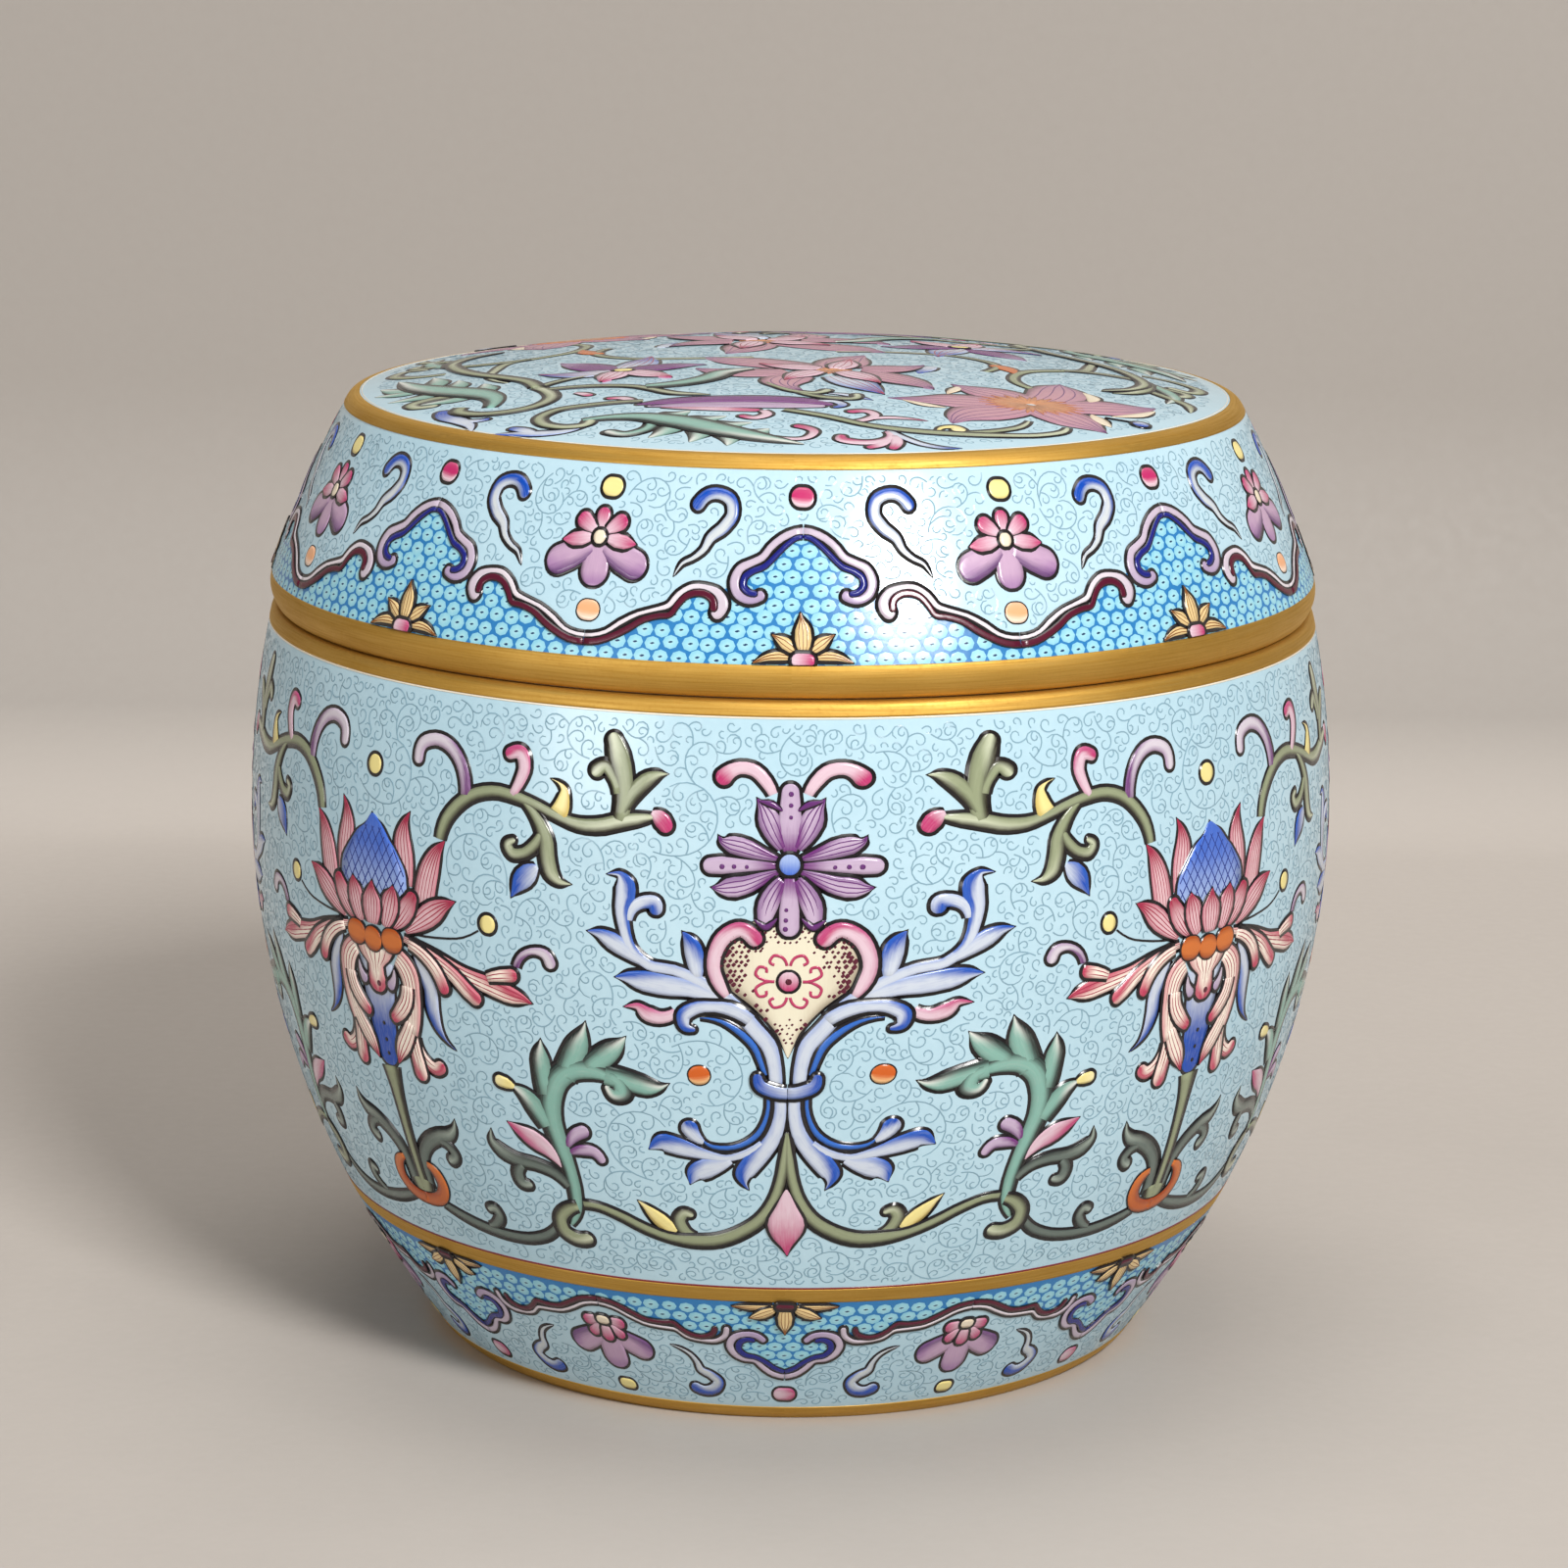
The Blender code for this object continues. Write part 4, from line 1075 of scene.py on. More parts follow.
TOP_STAMENS = stamens(33, -33.2, 7.6, 5.4, 40) + stamens(5, -16.5, 3.6, 2.6, 18)
TOP_FLOWERS = TOP_BIG_FLOWER + TOP_MIDDLE_FLOWER + TOP_EDGE_FLOWER + TOP_BLUE_FLOWER
TOP_HALF = TOP_STEMS + TOP_LEAVES + TOP_FLOWERS + TOP_STAMENS


# Where the patterns stand round the jar.

Copies = namedtuple("Copies", "start rate drift")


def axes_round(first, second, width):
    """Half cells that run from each first axis to the two second axes beside it.

    Along a half cell the angle is its first axis plus x times a rate, and the rate is the
    angle between the two axes over the pattern's width, negative where it is mirrored.
    """
    first = np.radians(first)
    second = np.radians(second)
    start = np.repeat(first, 2)
    ahead = second - first
    behind = np.roll(second, 1) - np.where(np.arange(len(first)) == 0, math.tau, 0.0) - first
    rate = np.stack([ahead, behind], 1).ravel() / width
    return start, rate


def by_hand(count, seed, most):
    """Small differences between hand-painted copies: sideways and upward drift in mm."""
    return np.random.default_rng(seed).uniform(-1, 1, (count, 2)) * most


def halves(first, second, width, seed, most):
    """The mirrored half cells of a pattern, each with its own drift."""
    start, rate = axes_round(first, second, width)
    return Copies(start, rate, by_hand(len(start), seed, most))


def on_axes(angles):
    """Copies that stand on an axis, unmirrored."""
    start = np.radians(angles)
    return Copies(start, np.full(len(start), 1 / PATTERN_RADIUS), np.zeros((len(start), 2)))


# The four urns and the four lotuses. The front right half leans out further than the left one.
URN_ANGLES = np.array([0.0, 90.0, 180.0, 270.0])
LOTUS_ANGLES = np.array([46.5, 135.0, 225.0, 314.1])
BODY_COPIES = halves(URN_ANGLES, LOTUS_ANGLES, LOTUS_X, 3, (0.7, 0.5))
FRONT_RIGHT_DRIFT = (3.2, 2.4)
FRONT_LEFT_DRIFT = (0.0, 0.0)
BODY_COPIES.drift[:2] = (FRONT_RIGHT_DRIFT, FRONT_LEFT_DRIFT)

# The lid's border has eight even cells, turned a little against the body's urns.
LID_TURN = 1.1
LID_RUYI_ANGLES = LID_TURN + 45.0 * np.arange(8)
LID_FLOWER_ANGLES = LID_RUYI_ANGLES + 22.5
LID_COPIES = halves(LID_RUYI_ANGLES, LID_FLOWER_ANGLES, LID_HALF_PERIOD, 5, (0.25, 0.15))

# The foot's border has eight cells, a little wider at the front.
FOOT_RUYI_ANGLES = np.array([0.0, 47.2, 92.0, 136.0, 180.0, 224.0, 268.0, 312.8])
FOOT_FLOWER_ANGLES = np.array([23.8, 69.6, 114.0, 158.0, 202.0, 246.0, 290.4, 336.2])
FOOT_COPIES = halves(FOOT_RUYI_ANGLES, FOOT_FLOWER_ANGLES, FOOT_HALF_PERIOD, 7, (0.25, 0.15))


def spread_over(copies, flat, width):
    """Angle and height of a flat pattern's points on every copy.

    A copy's drift swells as the squared sine of the share of its width, to nothing at its axes.
    It also fades sideways towards the foot and upwards towards the shoulder.
    """
    x = flat[None, ..., 0]
    y = flat[None, ..., 1]
    swell = np.sin(np.pi * np.clip(x / width, 0, 1)) ** 2
    sideways = copies.drift[:, 0, None, None] * swell * np.minimum(1, y / 45)
    upwards = copies.drift[:, 1, None, None] * swell * np.clip(1 - y / 90, 0, 1)
    angle = copies.start[:, None, None] + copies.rate[:, None, None] * (x + sideways)
    return angle, y + upwards


class Painting:
    """Strokes gathered by colour for one zone, and the ground that they cover."""

    MASK_STEP = 0.25

    def __init__(self, name, place, spread, to_mask, size, relief):
        self.name = name
        self.place = place
        self.spread = spread
        self.to_mask = to_mask
        self.relief = relief
        self.sheets = {}
        self.order = 0
        columns = int(round(size[0] / self.MASK_STEP))
        rows = int(round(size[1] / self.MASK_STEP)) + 1
        self.covered = np.zeros((rows, columns), bool)

    def paint(self, strokes, copies, width):
        """Lays strokes on every copy: the ink below, the colour over it and its veins."""
        for stroke in strokes:
            self.order += 1
            nudge = NUDGE_STEP * (self.order % NUDGES)
            inset = self.relief.ink_inset / MM * stroke.ink
            outset = self.relief.ink_outset / MM * stroke.ink
            if stroke.ink:
                self.lay("ink", ink_patch(stroke, outset), copies, width, nudge)
            colour = paint_patch(stroke, inset)
            self.lay(stroke.family, colour, copies, width, nudge)
            for vein in vein_patches(stroke, inset) if stroke.veins else ():
                self.lay(VEIN_COLOURS.get(stroke.family, "vein"), vein, copies, width, nudge, False)

    def lay(self, family, patch, copies, width, nudge, covers=True):
        """Puts one patch on every copy, wound the other way round on mirrored ones."""
        across, up = self.spread(copies, patch.flat, width)
        lift = np.broadcast_to(patch.lift[None] + nudge, across.shape)
        points = self.place(across, up, lift)
        mirrored_copies = copies.rate < 0
        sheets = self.sheets.setdefault(family, Sheets())
        for flip in (False, True):
            chosen = mirrored_copies == flip
            if chosen.any():
                sheets.add(points[chosen], patch.paint[None], patch.brush_uv[None], flip, patch.skirts)
        if covers:
            self.cover(*self.to_mask(across, up))

    def cover(self, x, y):
        """Marks the ground under a patch, sampled finely between its grid points."""
        for axis, times in ((1, 5), (2, 4)):
            x = refine(x, axis, times)
            y = refine(y, axis, times)
        rows, columns = self.covered.shape
        column = np.round(x / self.MASK_STEP).astype(int) % columns
        row = np.clip(np.round(y / self.MASK_STEP).astype(int), 0, rows - 1)
        self.covered[row, column] = True

    def build(self, colours):
        """Makes one piece for each colour family."""
        for family, sheets in self.sheets.items():
            sheets.build(f"{self.name}_{family}", colours[family], "painted_enamel")


def refine(values, axis, times):
    """The same grid with evenly spaced samples added between neighbours along an axis."""
    low = np.take(values, range(values.shape[axis] - 1), axis)
    high = np.take(values, range(1, values.shape[axis]), axis)
    steps = [low + (high - low) * (step / times) for step in range(times)]
    return np.concatenate([*steps, np.take(values, [-1], axis)], axis)


def on_cylinder(angle, y):
    """Mask place of a point on a wall: x round the drawing cylinder, y up the wall."""
    return angle * PATTERN_RADIUS, y


def wall_painting(name, zone, relief):
    """A painting that goes all round a turned wall."""
    size = (math.tau * PATTERN_RADIUS, zone.along[-1])
    return Painting(name, zone.place, spread_over, on_cylinder, size, relief)


def turn_over(copies, flat, width):
    """Places of a flat pattern's points on the lid's top, each copy turned about the axis."""
    cos = np.cos(copies.start)[:, None, None]
    sin = np.sin(copies.start)[:, None, None]
    x = flat[None, ..., 0]
    y = flat[None, ..., 1]
    return x * cos - y * sin, x * sin + y * cos


def on_disc(x, y):
    """Mask place of a point on the lid's top, counted from a corner outside the disc."""
    return x + TOP_MASK_RADIUS, y + TOP_MASK_RADIUS


TOP_MASK_RADIUS = 66.0


# Discs, for stipple dots and honeycomb cells.


def disc_grid(size):
    """A square grid bent into a disc, so that it has no seam and no thin middle faces.

    A point (a, b) of the square goes to the radius max(|a|, |b|). Its angle is an eighth
    turn times the smaller over the larger, counted from the nearer axis.
    """
    side = np.linspace(-1, 1, size)
    a, b = np.meshgrid(side, side, indexing="ij")
    wide = np.abs(a) >= np.abs(b)
    safe_a = np.where(a == 0, 1, a)
    safe_b = np.where(b == 0, 1, b)
    turn = np.where(wide, np.pi / 4 * b / safe_a, np.pi / 2 - np.pi / 4 * a / safe_b)
    reach = np.where(wide, a, b)
    return np.stack([reach * np.cos(turn), reach * np.sin(turn)], -1)


def discs(zone, sheets, angle, y, radius, lifts, paint_levels, squash=0.0):
    """Small raised discs at many places of a zone, all made as one stack of grids.

    lifts and paint_levels give the height and the colour weight of each ring, from the
    middle outwards. squash is the share of its height that a disc loses.
    """
    size = 2 * len(lifts) - 1
    grid = disc_grid(size)
    ring = np.round(np.hypot(grid[..., 0], grid[..., 1]) * (len(lifts) - 1)).astype(int)
    shrink = 1 / zone.narrowing(y)
    x_part = grid[None, ..., 0] * (radius * shrink)[:, None, None]
    y_part = grid[None, ..., 1] * (radius * (1 - squash))[:, None, None]
    angles = angle[:, None, None] + x_part / PATTERN_RADIUS
    heights = y[:, None, None] + y_part
    lift = np.broadcast_to(np.array(lifts)[ring][None], angles.shape)
    paint = np.zeros((*ring.shape, 4))
    paint[..., 0] = np.array(paint_levels)[ring]
    paint[..., 3] = 1.0
    sheets.add(zone.place(angles, heights, lift), paint[None], np.zeros((1, 1, 1, 2)))


# Distance between rows and radius of the cells, as shares of their pitch, and how far from
# the border's sides their middles stay.
CELL_ROW_SHARE = 0.77
CELL_RADIUS_SHARE = 0.49
CELL_CLEARANCE = 0.55
# Each cell's parts: name, colour, size, heights, colour weights and squash.
CELL_PARTS = (
    ("cells", "cell", 1.0, (0.085, 0.03), (0, 0.6), 0.12),
    ("dots", "honeycomb_dot", 0.34, (0.12, 0.06), (0, 0), 0.45),
)


def honeycomb(painting, zone, edge, outer, copies, period, relief, colours):
    """The blue honeycomb behind a border: a sheet with rows of raised pale cells on it.

    The sheet runs from the edge's curve to the straight side at y = outer. Cells stand in
    rows, every second row moved by half a cell, where their middles keep clear of both sides.
    """
    knots = np.array(edge, float)
    x = np.linspace(0, period, 33)
    curve = np.interp(x, knots[:, 0], knots[:, 1])
    y = outer + (curve[:, None] - outer) * np.linspace(0, 1, 7)[None]
    flat = np.stack([np.broadcast_to(x[:, None], y.shape), y], -1)
    if curve.mean() < outer:
        flat = flat[:, ::-1]
    ground = plain_patch(flat, np.full(flat.shape[:2], LAYER_BASE * 0.6))
    painting.lay("honeycomb", ground, copies, period, 0.0)
    pitch = relief.cell_pitch / MM
    low = min(outer, knots[:, 1].min())
    high = max(outer, knots[:, 1].max())
    rows = np.arange(low, high, CELL_ROW_SHARE * pitch) + 0.9
    in_row = int(round(math.tau * PATTERN_RADIUS * float(zone.narrowing((low + high) / 2)) / pitch))
    step = math.tau / in_row
    angle = np.arange(in_row)[None] * step + (np.arange(len(rows)) % 2)[:, None] * (step / 2)
    height = np.broadcast_to(rows[:, None], angle.shape)
    rng = np.random.default_rng(11)
    angle = (angle + rng.normal(0, 0.1, angle.shape) / PATTERN_RADIUS).ravel()
    height = (height + rng.normal(0, 0.08, height.shape)).ravel()
    bound = np.interp(local_x(angle, copies, period), knots[:, 0], knots[:, 1])
    reach = np.minimum(np.abs(bound - height), np.abs(height - outer))
    kept = ((height - outer) * (height - bound) < 0) & (reach > CELL_CLEARANCE)
    angle = angle[kept]
    height = height[kept]
    radius = rng.uniform(0.9, 1.02, len(angle)) * pitch * CELL_RADIUS_SHARE
    for part, colour, size, lifts, levels, squash in CELL_PARTS:
        sheets = Sheets()
        discs(zone, sheets, angle, height, radius * size, lifts, levels, squash)
        sheets.build(f"{painting.name}_honeycomb_{part}", colours[colour], "painted_enamel")


def local_x(angle, copies, period):
    """Pattern x of an angle, measured from the nearest first axis of its cell."""
    gap = (angle[:, None] - copies.start[None] + np.pi) % math.tau - np.pi
    x = gap / copies.rate[None]
    x = np.where((x < -1e-6) | (x > period * 1.02), np.inf, x)
    return np.clip(x.min(1), 0, period)


def half_width(stroke, y):
    """Half width of an upright stroke at a height, straight between its points."""
    heights, widths = np.array(stroke.points, float).T[1:]
    return np.interp(y, heights, widths)


def stipple(sheets):
    """Dots over the urns, larger near the rim, on a shaken hexagonal grid.

    They keep inside the urn's outline and clear of the rosette in its middle.
    """
    rng = np.random.default_rng(21)
    rows = np.arange(40, 59, 0.68)
    x = np.arange(-9.8, 9.9, 0.8)
    grid_x = x[None] + 0.4 * (np.arange(len(rows)) % 2)[:, None]
    grid_y = np.broadcast_to(rows[:, None], grid_x.shape)
    grid_x = (grid_x + rng.normal(0, 0.1, grid_x.shape)).ravel()
    grid_y = (grid_y + rng.normal(0, 0.1, grid_y.shape)).ravel()
    half = half_width(URN, grid_y)
    from_rosette = np.hypot(grid_x / 1.05, grid_y - ROSETTE_Y)
    bound = ROSETTE_REACH + rng.uniform(-0.6, 1.2, len(grid_x))
    kept = (np.abs(grid_x) < half - 0.5) & (from_rosette > bound)
    grid_x, grid_y = grid_x[kept], grid_y[kept]
    axes = np.radians(URN_ANGLES)
    angle = (axes[:, None] + grid_x[None] / PATTERN_RADIUS).ravel()
    y = np.tile(grid_y, len(axes))
    edge = np.tile(np.abs(grid_x) / half[kept], len(axes))
    radius = rng.uniform(0.24, 0.36, len(angle)) + 0.16 * edge**3
    crown = LAYER_BASE + PAINT_CROWN
    discs(BODY_ZONE, sheets, angle, y, radius, (crown + 0.07, crown - 0.05), (0, 0))


def netting(painting, copies):
    """Slanting lines both ways over the lotus bulbs, cut off at the bulb's outline."""
    y = np.linspace(56.5, 65.2, 24)
    slant = 0.62
    half = 0.13
    for way in (-1, 1):
        for offset in np.arange(-12, 12.1, 1.5):
            x = offset + way * slant * (y - 60)
            inside = np.abs(x) < half_width(BULB, y) - 0.6
            if inside.sum() < 4:
                continue
            centre = np.stack([x[inside], y[inside]], -1)
            side = np.array([1.0, -way * slant]) / math.hypot(1, slant)
            flat = np.stack([centre + side * half, centre, centre - side * half], 1)
            share = np.abs(centre[:, 0]) / half_width(BULB, centre[:, 1])
            crown = LAYER_BASE + LAYER_STEP + PAINT_CROWN * (1 - share**2)
            lift = crown[:, None] + np.array([-0.015, 0.03, -0.015])[None]
            painting.lay("net", plain_patch(flat, lift), copies, LOTUS_X, 0.0, False)


# Needle scrolls in the turquoise ground.

# Kinds of tendril, long ones first: length in millimetres, how far it turns in radians, the
# power that its turning grows with, its points and the distance between its branches.
Tendril = namedtuple("Tendril", "length turn power points every")
TENDRILS = (
    Tendril(21.0, 4.0, 1.3, 17, 1.8),
    Tendril(12.0, 4.8, 1.5, 14, 1.7),
    Tendril(7.4, 5.4, 1.8, 12, 1.8),
    Tendril(4.9, 5.6, 1.8, 11, 9.0),
    Tendril(3.6, 5.4, 1.7, 9, 9.0),
    Tendril(2.6, 4.8, 1.6, 8, 9.0),
    Tendril(1.8, 3.8, 1.4, 5, 9.0),
)
# How far a branch leans away from its stem, in radians, and what it tries to add to that.
BRANCH_LEAN = 0.85
MORE_LEAN = (0, 0.35, -0.4, 0.7)
# A branch's first stretch, in millimetres, may touch its stem.
STEM_CLEARANCE = 0.85
# A new start tries headings that are this many radians apart.
START_TURN = 2.4
# Marked with each point of a line: its own cell and the four beside it.
AROUND = np.array([(0, 0), (0, 1), (1, 0), (0, -1), (-1, 0)])


def tendril_path(kind, spacing):
    """A tendril that starts straight and curls in: its turning grows as a power of length."""
    count = int(round(kind.length / spacing)) + 1
    share = np.linspace(0, 1, count)
    heading = kind.turn * share**kind.power
    step = kind.length / (count - 1)
    middle = (heading[1:] + heading[:-1]) / 2
    x = np.concatenate([[0.0], np.cumsum(np.cos(middle))]) * step
    y = np.concatenate([[0.0], np.cumsum(np.sin(middle))]) * step
    return x, y, heading


def grow_scrolls(covered, step, narrowing, wraps, seed):
    """Fills the bare ground with branching scrolls, and returns their starts by kind.

    A start tries the long kinds first, in several headings, and keeps the first tendril
    that stays clear of the painting and of the lines before it. Shorter ones then branch
    off along it, to alternate sides. A start that finds no room is given up for good.
    """
    rng = np.random.default_rng(seed)
    rows, columns = covered.shape
    taken = covered.copy()
    for shift in AROUND[1:]:
        taken |= np.roll(covered, shift, (0, 1))
    fine = [tendril_path(kind, step) for kind in TENDRILS]
    kept = [[] for _ in TENDRILS]
    queue = []
    pending = []
    skip = int(round(STEM_CLEARANCE / step))

    def draw(kind, x, y, heading, side, first):
        """Keeps a tendril if its cells are free from the first one asked for, and says if so."""
        px, py, turn = fine[kind]
        cos = math.cos(heading)
        sin = math.sin(heading)
        shrink = float(narrowing(y))
        gx = x + (px * cos - side * py * sin) / shrink
        gy = y + px * sin + side * py * cos
        row = np.rint(gy / step).astype(int)
        column = np.rint(gx / step).astype(int)
        if row.min() < 0 or row.max() >= rows:
            return False
        if wraps:
            column %= columns
        elif column.min() < 0 or column.max() >= columns:
            return False
        if taken[row[first:], column[first:]].any():
            return False
        pending.append((row[:, None] + AROUND[:, 0], column[:, None] + AROUND[:, 1]))
        kept[kind].append((x, y, heading, side))
        every = TENDRILS[kind].every
        offset = every * 0.6
        flip = side
        while offset < TENDRILS[kind].length - 1.0:
            at = int(round(offset / step))
            angle = heading + side * turn[at] + flip * BRANCH_LEAN
            queue.append((gx[at], gy[at], angle, flip, kind + 1))
            flip = -flip
            offset += every * rng.uniform(0.8, 1.2)
        return True

    def mark():
        """Marks the cells of the tendrils that were kept since the last time."""
        for row, column in pending:
            column = column % columns if wraps else column.clip(0, columns - 1)
            taken[row.clip(0, rows - 1), column] = True
        pending.clear()

    goes = [(kind, go) for kind in range(len(TENDRILS)) for go in range(9 if kind < 3 else 6)]
    free = np.argwhere(~taken)
    for row, column in free[rng.permutation(len(free))]:
        if taken[row, column]:
            continue
        first = rng.uniform(0, math.tau)
        side = 1 if rng.random() < 0.5 else -1
        tries = [(kind, first + go * START_TURN) for kind, go in goes]
        found = any(draw(kind, column * step, row * step, heading, side, 0) for kind, heading in tries)
        if not found:
            taken[max(row - 2, 0) : row + 3, max(column - 2, 0) : column + 3] = True
        mark()
        while queue:
            x, y, heading, side, smallest = queue.pop(0)
            for kind in range(smallest, len(TENDRILS)):
                if any(draw(kind, x, y, heading + lean * side, side, skip) for lean in MORE_LEAN):
                    break
            mark()
    return [np.array(starts, float).reshape(-1, 4) for starts in kept]


def scroll_grids(starts, narrowing, half):
    """Flat grids of all tendrils of each kind: thin strips that narrow towards the tip."""
    for kind, batch in zip(TENDRILS, starts):
        if not len(batch):
            continue
        px, py, turn = tendril_path(kind, kind.length / kind.points)
        x, y, heading, side = (batch[:, index, None] for index in range(4))
        cos, sin = np.cos(heading), np.sin(heading)
        shrink = narrowing(batch[:, 1])[:, None]
        gx = x + (px * cos - side * py * sin) / shrink
        gy = y + px * sin + side * py * cos
        angle = heading + side * turn
        taper = half * np.minimum(1, 0.35 + 2.2 * np.linspace(1, 0.15, len(px)))
        across = np.array([-1.0, 1.0])
        flat_x = gx[..., None] - np.sin(angle)[..., None] * across * taper[:, None] / shrink[..., None]
        flat_y = gy[..., None] + np.cos(angle)[..., None] * across * taper[:, None]
        yield flat_x, flat_y


def zone_points(zone):
    """Places flat points of a wall, given as x round the drawing cylinder and y up the wall."""
    return lambda x, y, lift: zone.place(x / PATTERN_RADIUS, y, lift)


def disc_points(x, y, lift):
    """Places flat points of the lid's top, counted from the corner of its mask."""
    return place_on_top(x - TOP_MASK_RADIUS, y - TOP_MASK_RADIUS, lift)


def even_width(y):
    """The narrowing of a flat surface, which has none."""
    return np.ones_like(np.asarray(y, float))


# Heights of a needle line's two sides, in millimetres.
NEEDLE_LIFT = (-0.004, 0.026)


def scratch(name, starts, narrowing, half, material, place):
    """Makes one zone's needle lines: strips that lean, from just under the glaze to its burr."""
    sheets = Sheets()
    for x, y in scroll_grids(starts, narrowing, half):
        lift = np.broadcast_to(np.array(NEEDLE_LIFT), x.shape)
        sheets.add(place(x, y, lift), np.zeros((1, 1, 1, 4)), np.stack([x, y], -1))
    sheets.build(name, material, "turquoise_glaze")


# Turned porcelain and gilding.


def rounded_corner(before, corner, after, rounding):
    """Points that round off a corner: a quadratic curve between the ends of its rounding."""
    before, corner, after = (np.array(point, float) for point in (before, corner, after))
    to_before = before - corner
    to_after = after - corner
    length_before = np.hypot(*to_before)
    length_after = np.hypot(*to_after)
    cosine = to_before @ to_after / (length_before * length_after)
    reach = rounding / math.tan(math.acos(cosine) / 2)
    reach = min(reach, 0.45 * length_before, 0.45 * length_after)
    start = corner + to_before * reach / length_before
    end = corner + to_after * reach / length_after
    t = np.linspace(0, 1, ROUNDING_STEPS + 1)[:, None]
    return (1 - t) ** 2 * start + 2 * t * (1 - t) * corner + t**2 * end


def outline(parts):
    """A half section from stretches of points and rounded corners ((radius, height), rounding)."""
    rows = []
    for index, part in enumerate(parts):
        if not isinstance(part, tuple):
            rows.append(part)
            continue
        corner, rounding = part
        earlier = parts[index - 1]
        before = earlier[0] if isinstance(earlier, tuple) else earlier[-1]
        after = parts[index + 1][0]
        rows.append(rounded_corner(before, corner, after, rounding) if rounding else np.array([corner]))
    return rows


def wall(radius_at, start, end, inset=0.0, step=WALL_STEP):
    """Points of a wall between two heights, moved inwards by inset."""
    steps = max(3, int(round(abs(end - start) / step)))
    heights = np.linspace(start, end, steps + 1)
    return np.stack([radius_at(heights) - inset, heights], -1)


def body_section():
    """Half section of the body, and for each stretch between points whether it is outside."""
    inner_foot = float(outside_radius(FLOOR_HEIGHT)) - BODY_WALL
    neck_inside = NECK_RADIUS - NECK_WALL
    ring_inside = FOOT_RADIUS - FOOT_RING_WIDTH
    floor = np.stack([np.linspace(0, inner_foot * 0.7, 9), np.full(9, FLOOR_HEIGHT)], -1)
    inside_low = FLOOR_HEIGHT + FLOOR_ROUNDING
    inside = wall(outside_radius, inside_low, LEDGE_HEIGHT - BODY_WALL, BODY_WALL, INSIDE_STEP)
    outside = wall(outside_radius, LEDGE_HEIGHT - SHOULDER_ROUNDING, WAIST_HEIGHT)
    foot = wall(outside_radius, WAIST_HEIGHT, FOOT_RING_ROUNDING)[1:]
    base_r = np.linspace(ring_inside - FOOT_RING_ROUNDING, 0, 10)
    base = np.stack([base_r, np.full(10, FOOT_RECESS_DEPTH)], -1)
    parts = outline(
        [
            floor,
            ((inner_foot, FLOOR_HEIGHT), FLOOR_ROUNDING),
            inside,
            ((neck_inside, LEDGE_HEIGHT), 0),
            ((neck_inside, NECK_TOP_HEIGHT), NECK_ROUNDING),
            ((NECK_RADIUS, NECK_TOP_HEIGHT), NECK_ROUNDING),
            ((NECK_RADIUS, LEDGE_HEIGHT), 0),
            ((SHOULDER_RADIUS, LEDGE_HEIGHT), SHOULDER_ROUNDING),
            outside,
            foot,
            ((FOOT_RADIUS - FOOT_RING_ROUNDING / 2, 0), 0),
            ((ring_inside + FOOT_RING_ROUNDING / 2, 0), 0),
            ((ring_inside, FOOT_RING_ROUNDING), 0),
            base,
        ]
    )
    return join_parts(parts, painted=(7, 8, 9))


def lid_section():
    """Half section of the lid, over the top, down the side and up the inside."""
    bore_top = NECK_TOP_HEIGHT + LID_SIDE_CLEARANCE
    ceiling_r = np.linspace(LID_EDGE_RADIUS - LID_WALL - LID_INSIDE_ROUNDING, 0, 10)
    ceiling = np.stack([ceiling_r, lid_top_height(ceiling_r) - LID_TOP_THICKNESS], -1)
    corner_r = LID_EDGE_RADIUS - LID_WALL
    corner_z = float(lid_top_height(corner_r)) - LID_TOP_THICKNESS
    top_r = np.linspace(0, LID_EDGE_RADIUS - LID_EDGE_ROUNDING, 26)
    top = np.stack([top_r, lid_top_height(top_r)], -1)
    side = wall(lid_side_radius, LID_EDGE_HEIGHT - LID_EDGE_ROUNDING, RIM_TOP_HEIGHT)
    inside = wall(lid_side_radius, bore_top, corner_z - LID_INSIDE_ROUNDING, LID_WALL, INSIDE_STEP)
    parts = outline(
        [
            top,
            ((LID_EDGE_RADIUS, LID_EDGE_HEIGHT), LID_EDGE_ROUNDING),
            side,
            rim_wall(),
            ((RIM_BOTTOM_RADIUS, LID_BASE_HEIGHT), RIM_ROUNDING),
            ((LID_BORE_RADIUS, LID_BASE_HEIGHT), RIM_ROUNDING),
            ((LID_BORE_RADIUS, bore_top), 0),
            inside[1:],
            ((corner_r, corner_z), LID_INSIDE_ROUNDING),
            ceiling,
        ]
    )
    return join_parts(parts, painted=(0, 1, 2))


def rim_wall():
    """Outside of the lid's rim: its taper with a swelling that falls to nothing at both ends."""
    share = np.linspace(0.03, 0.9, 12)
    taper = RIM_RADIUS - RIM_BAND_STEP + (RIM_BOTTOM_RADIUS - RIM_RADIUS + RIM_BAND_STEP) * share
    swelling = 4 * RIM_SWELLING * share * (1 - share)
    return np.stack([taper + swelling, RIM_TOP_HEIGHT + (LID_BASE_HEIGHT - RIM_TOP_HEIGHT) * share], -1)


def join_parts(parts, painted):
    """All points of a section in one array, and the stretches that the turquoise covers."""
    points = np.concatenate(parts)
    owner = np.concatenate([np.full(len(part), index) for index, part in enumerate(parts)])
    covered = np.isin(owner[:-1], painted) & np.isin(owner[1:], painted)
    return points, covered


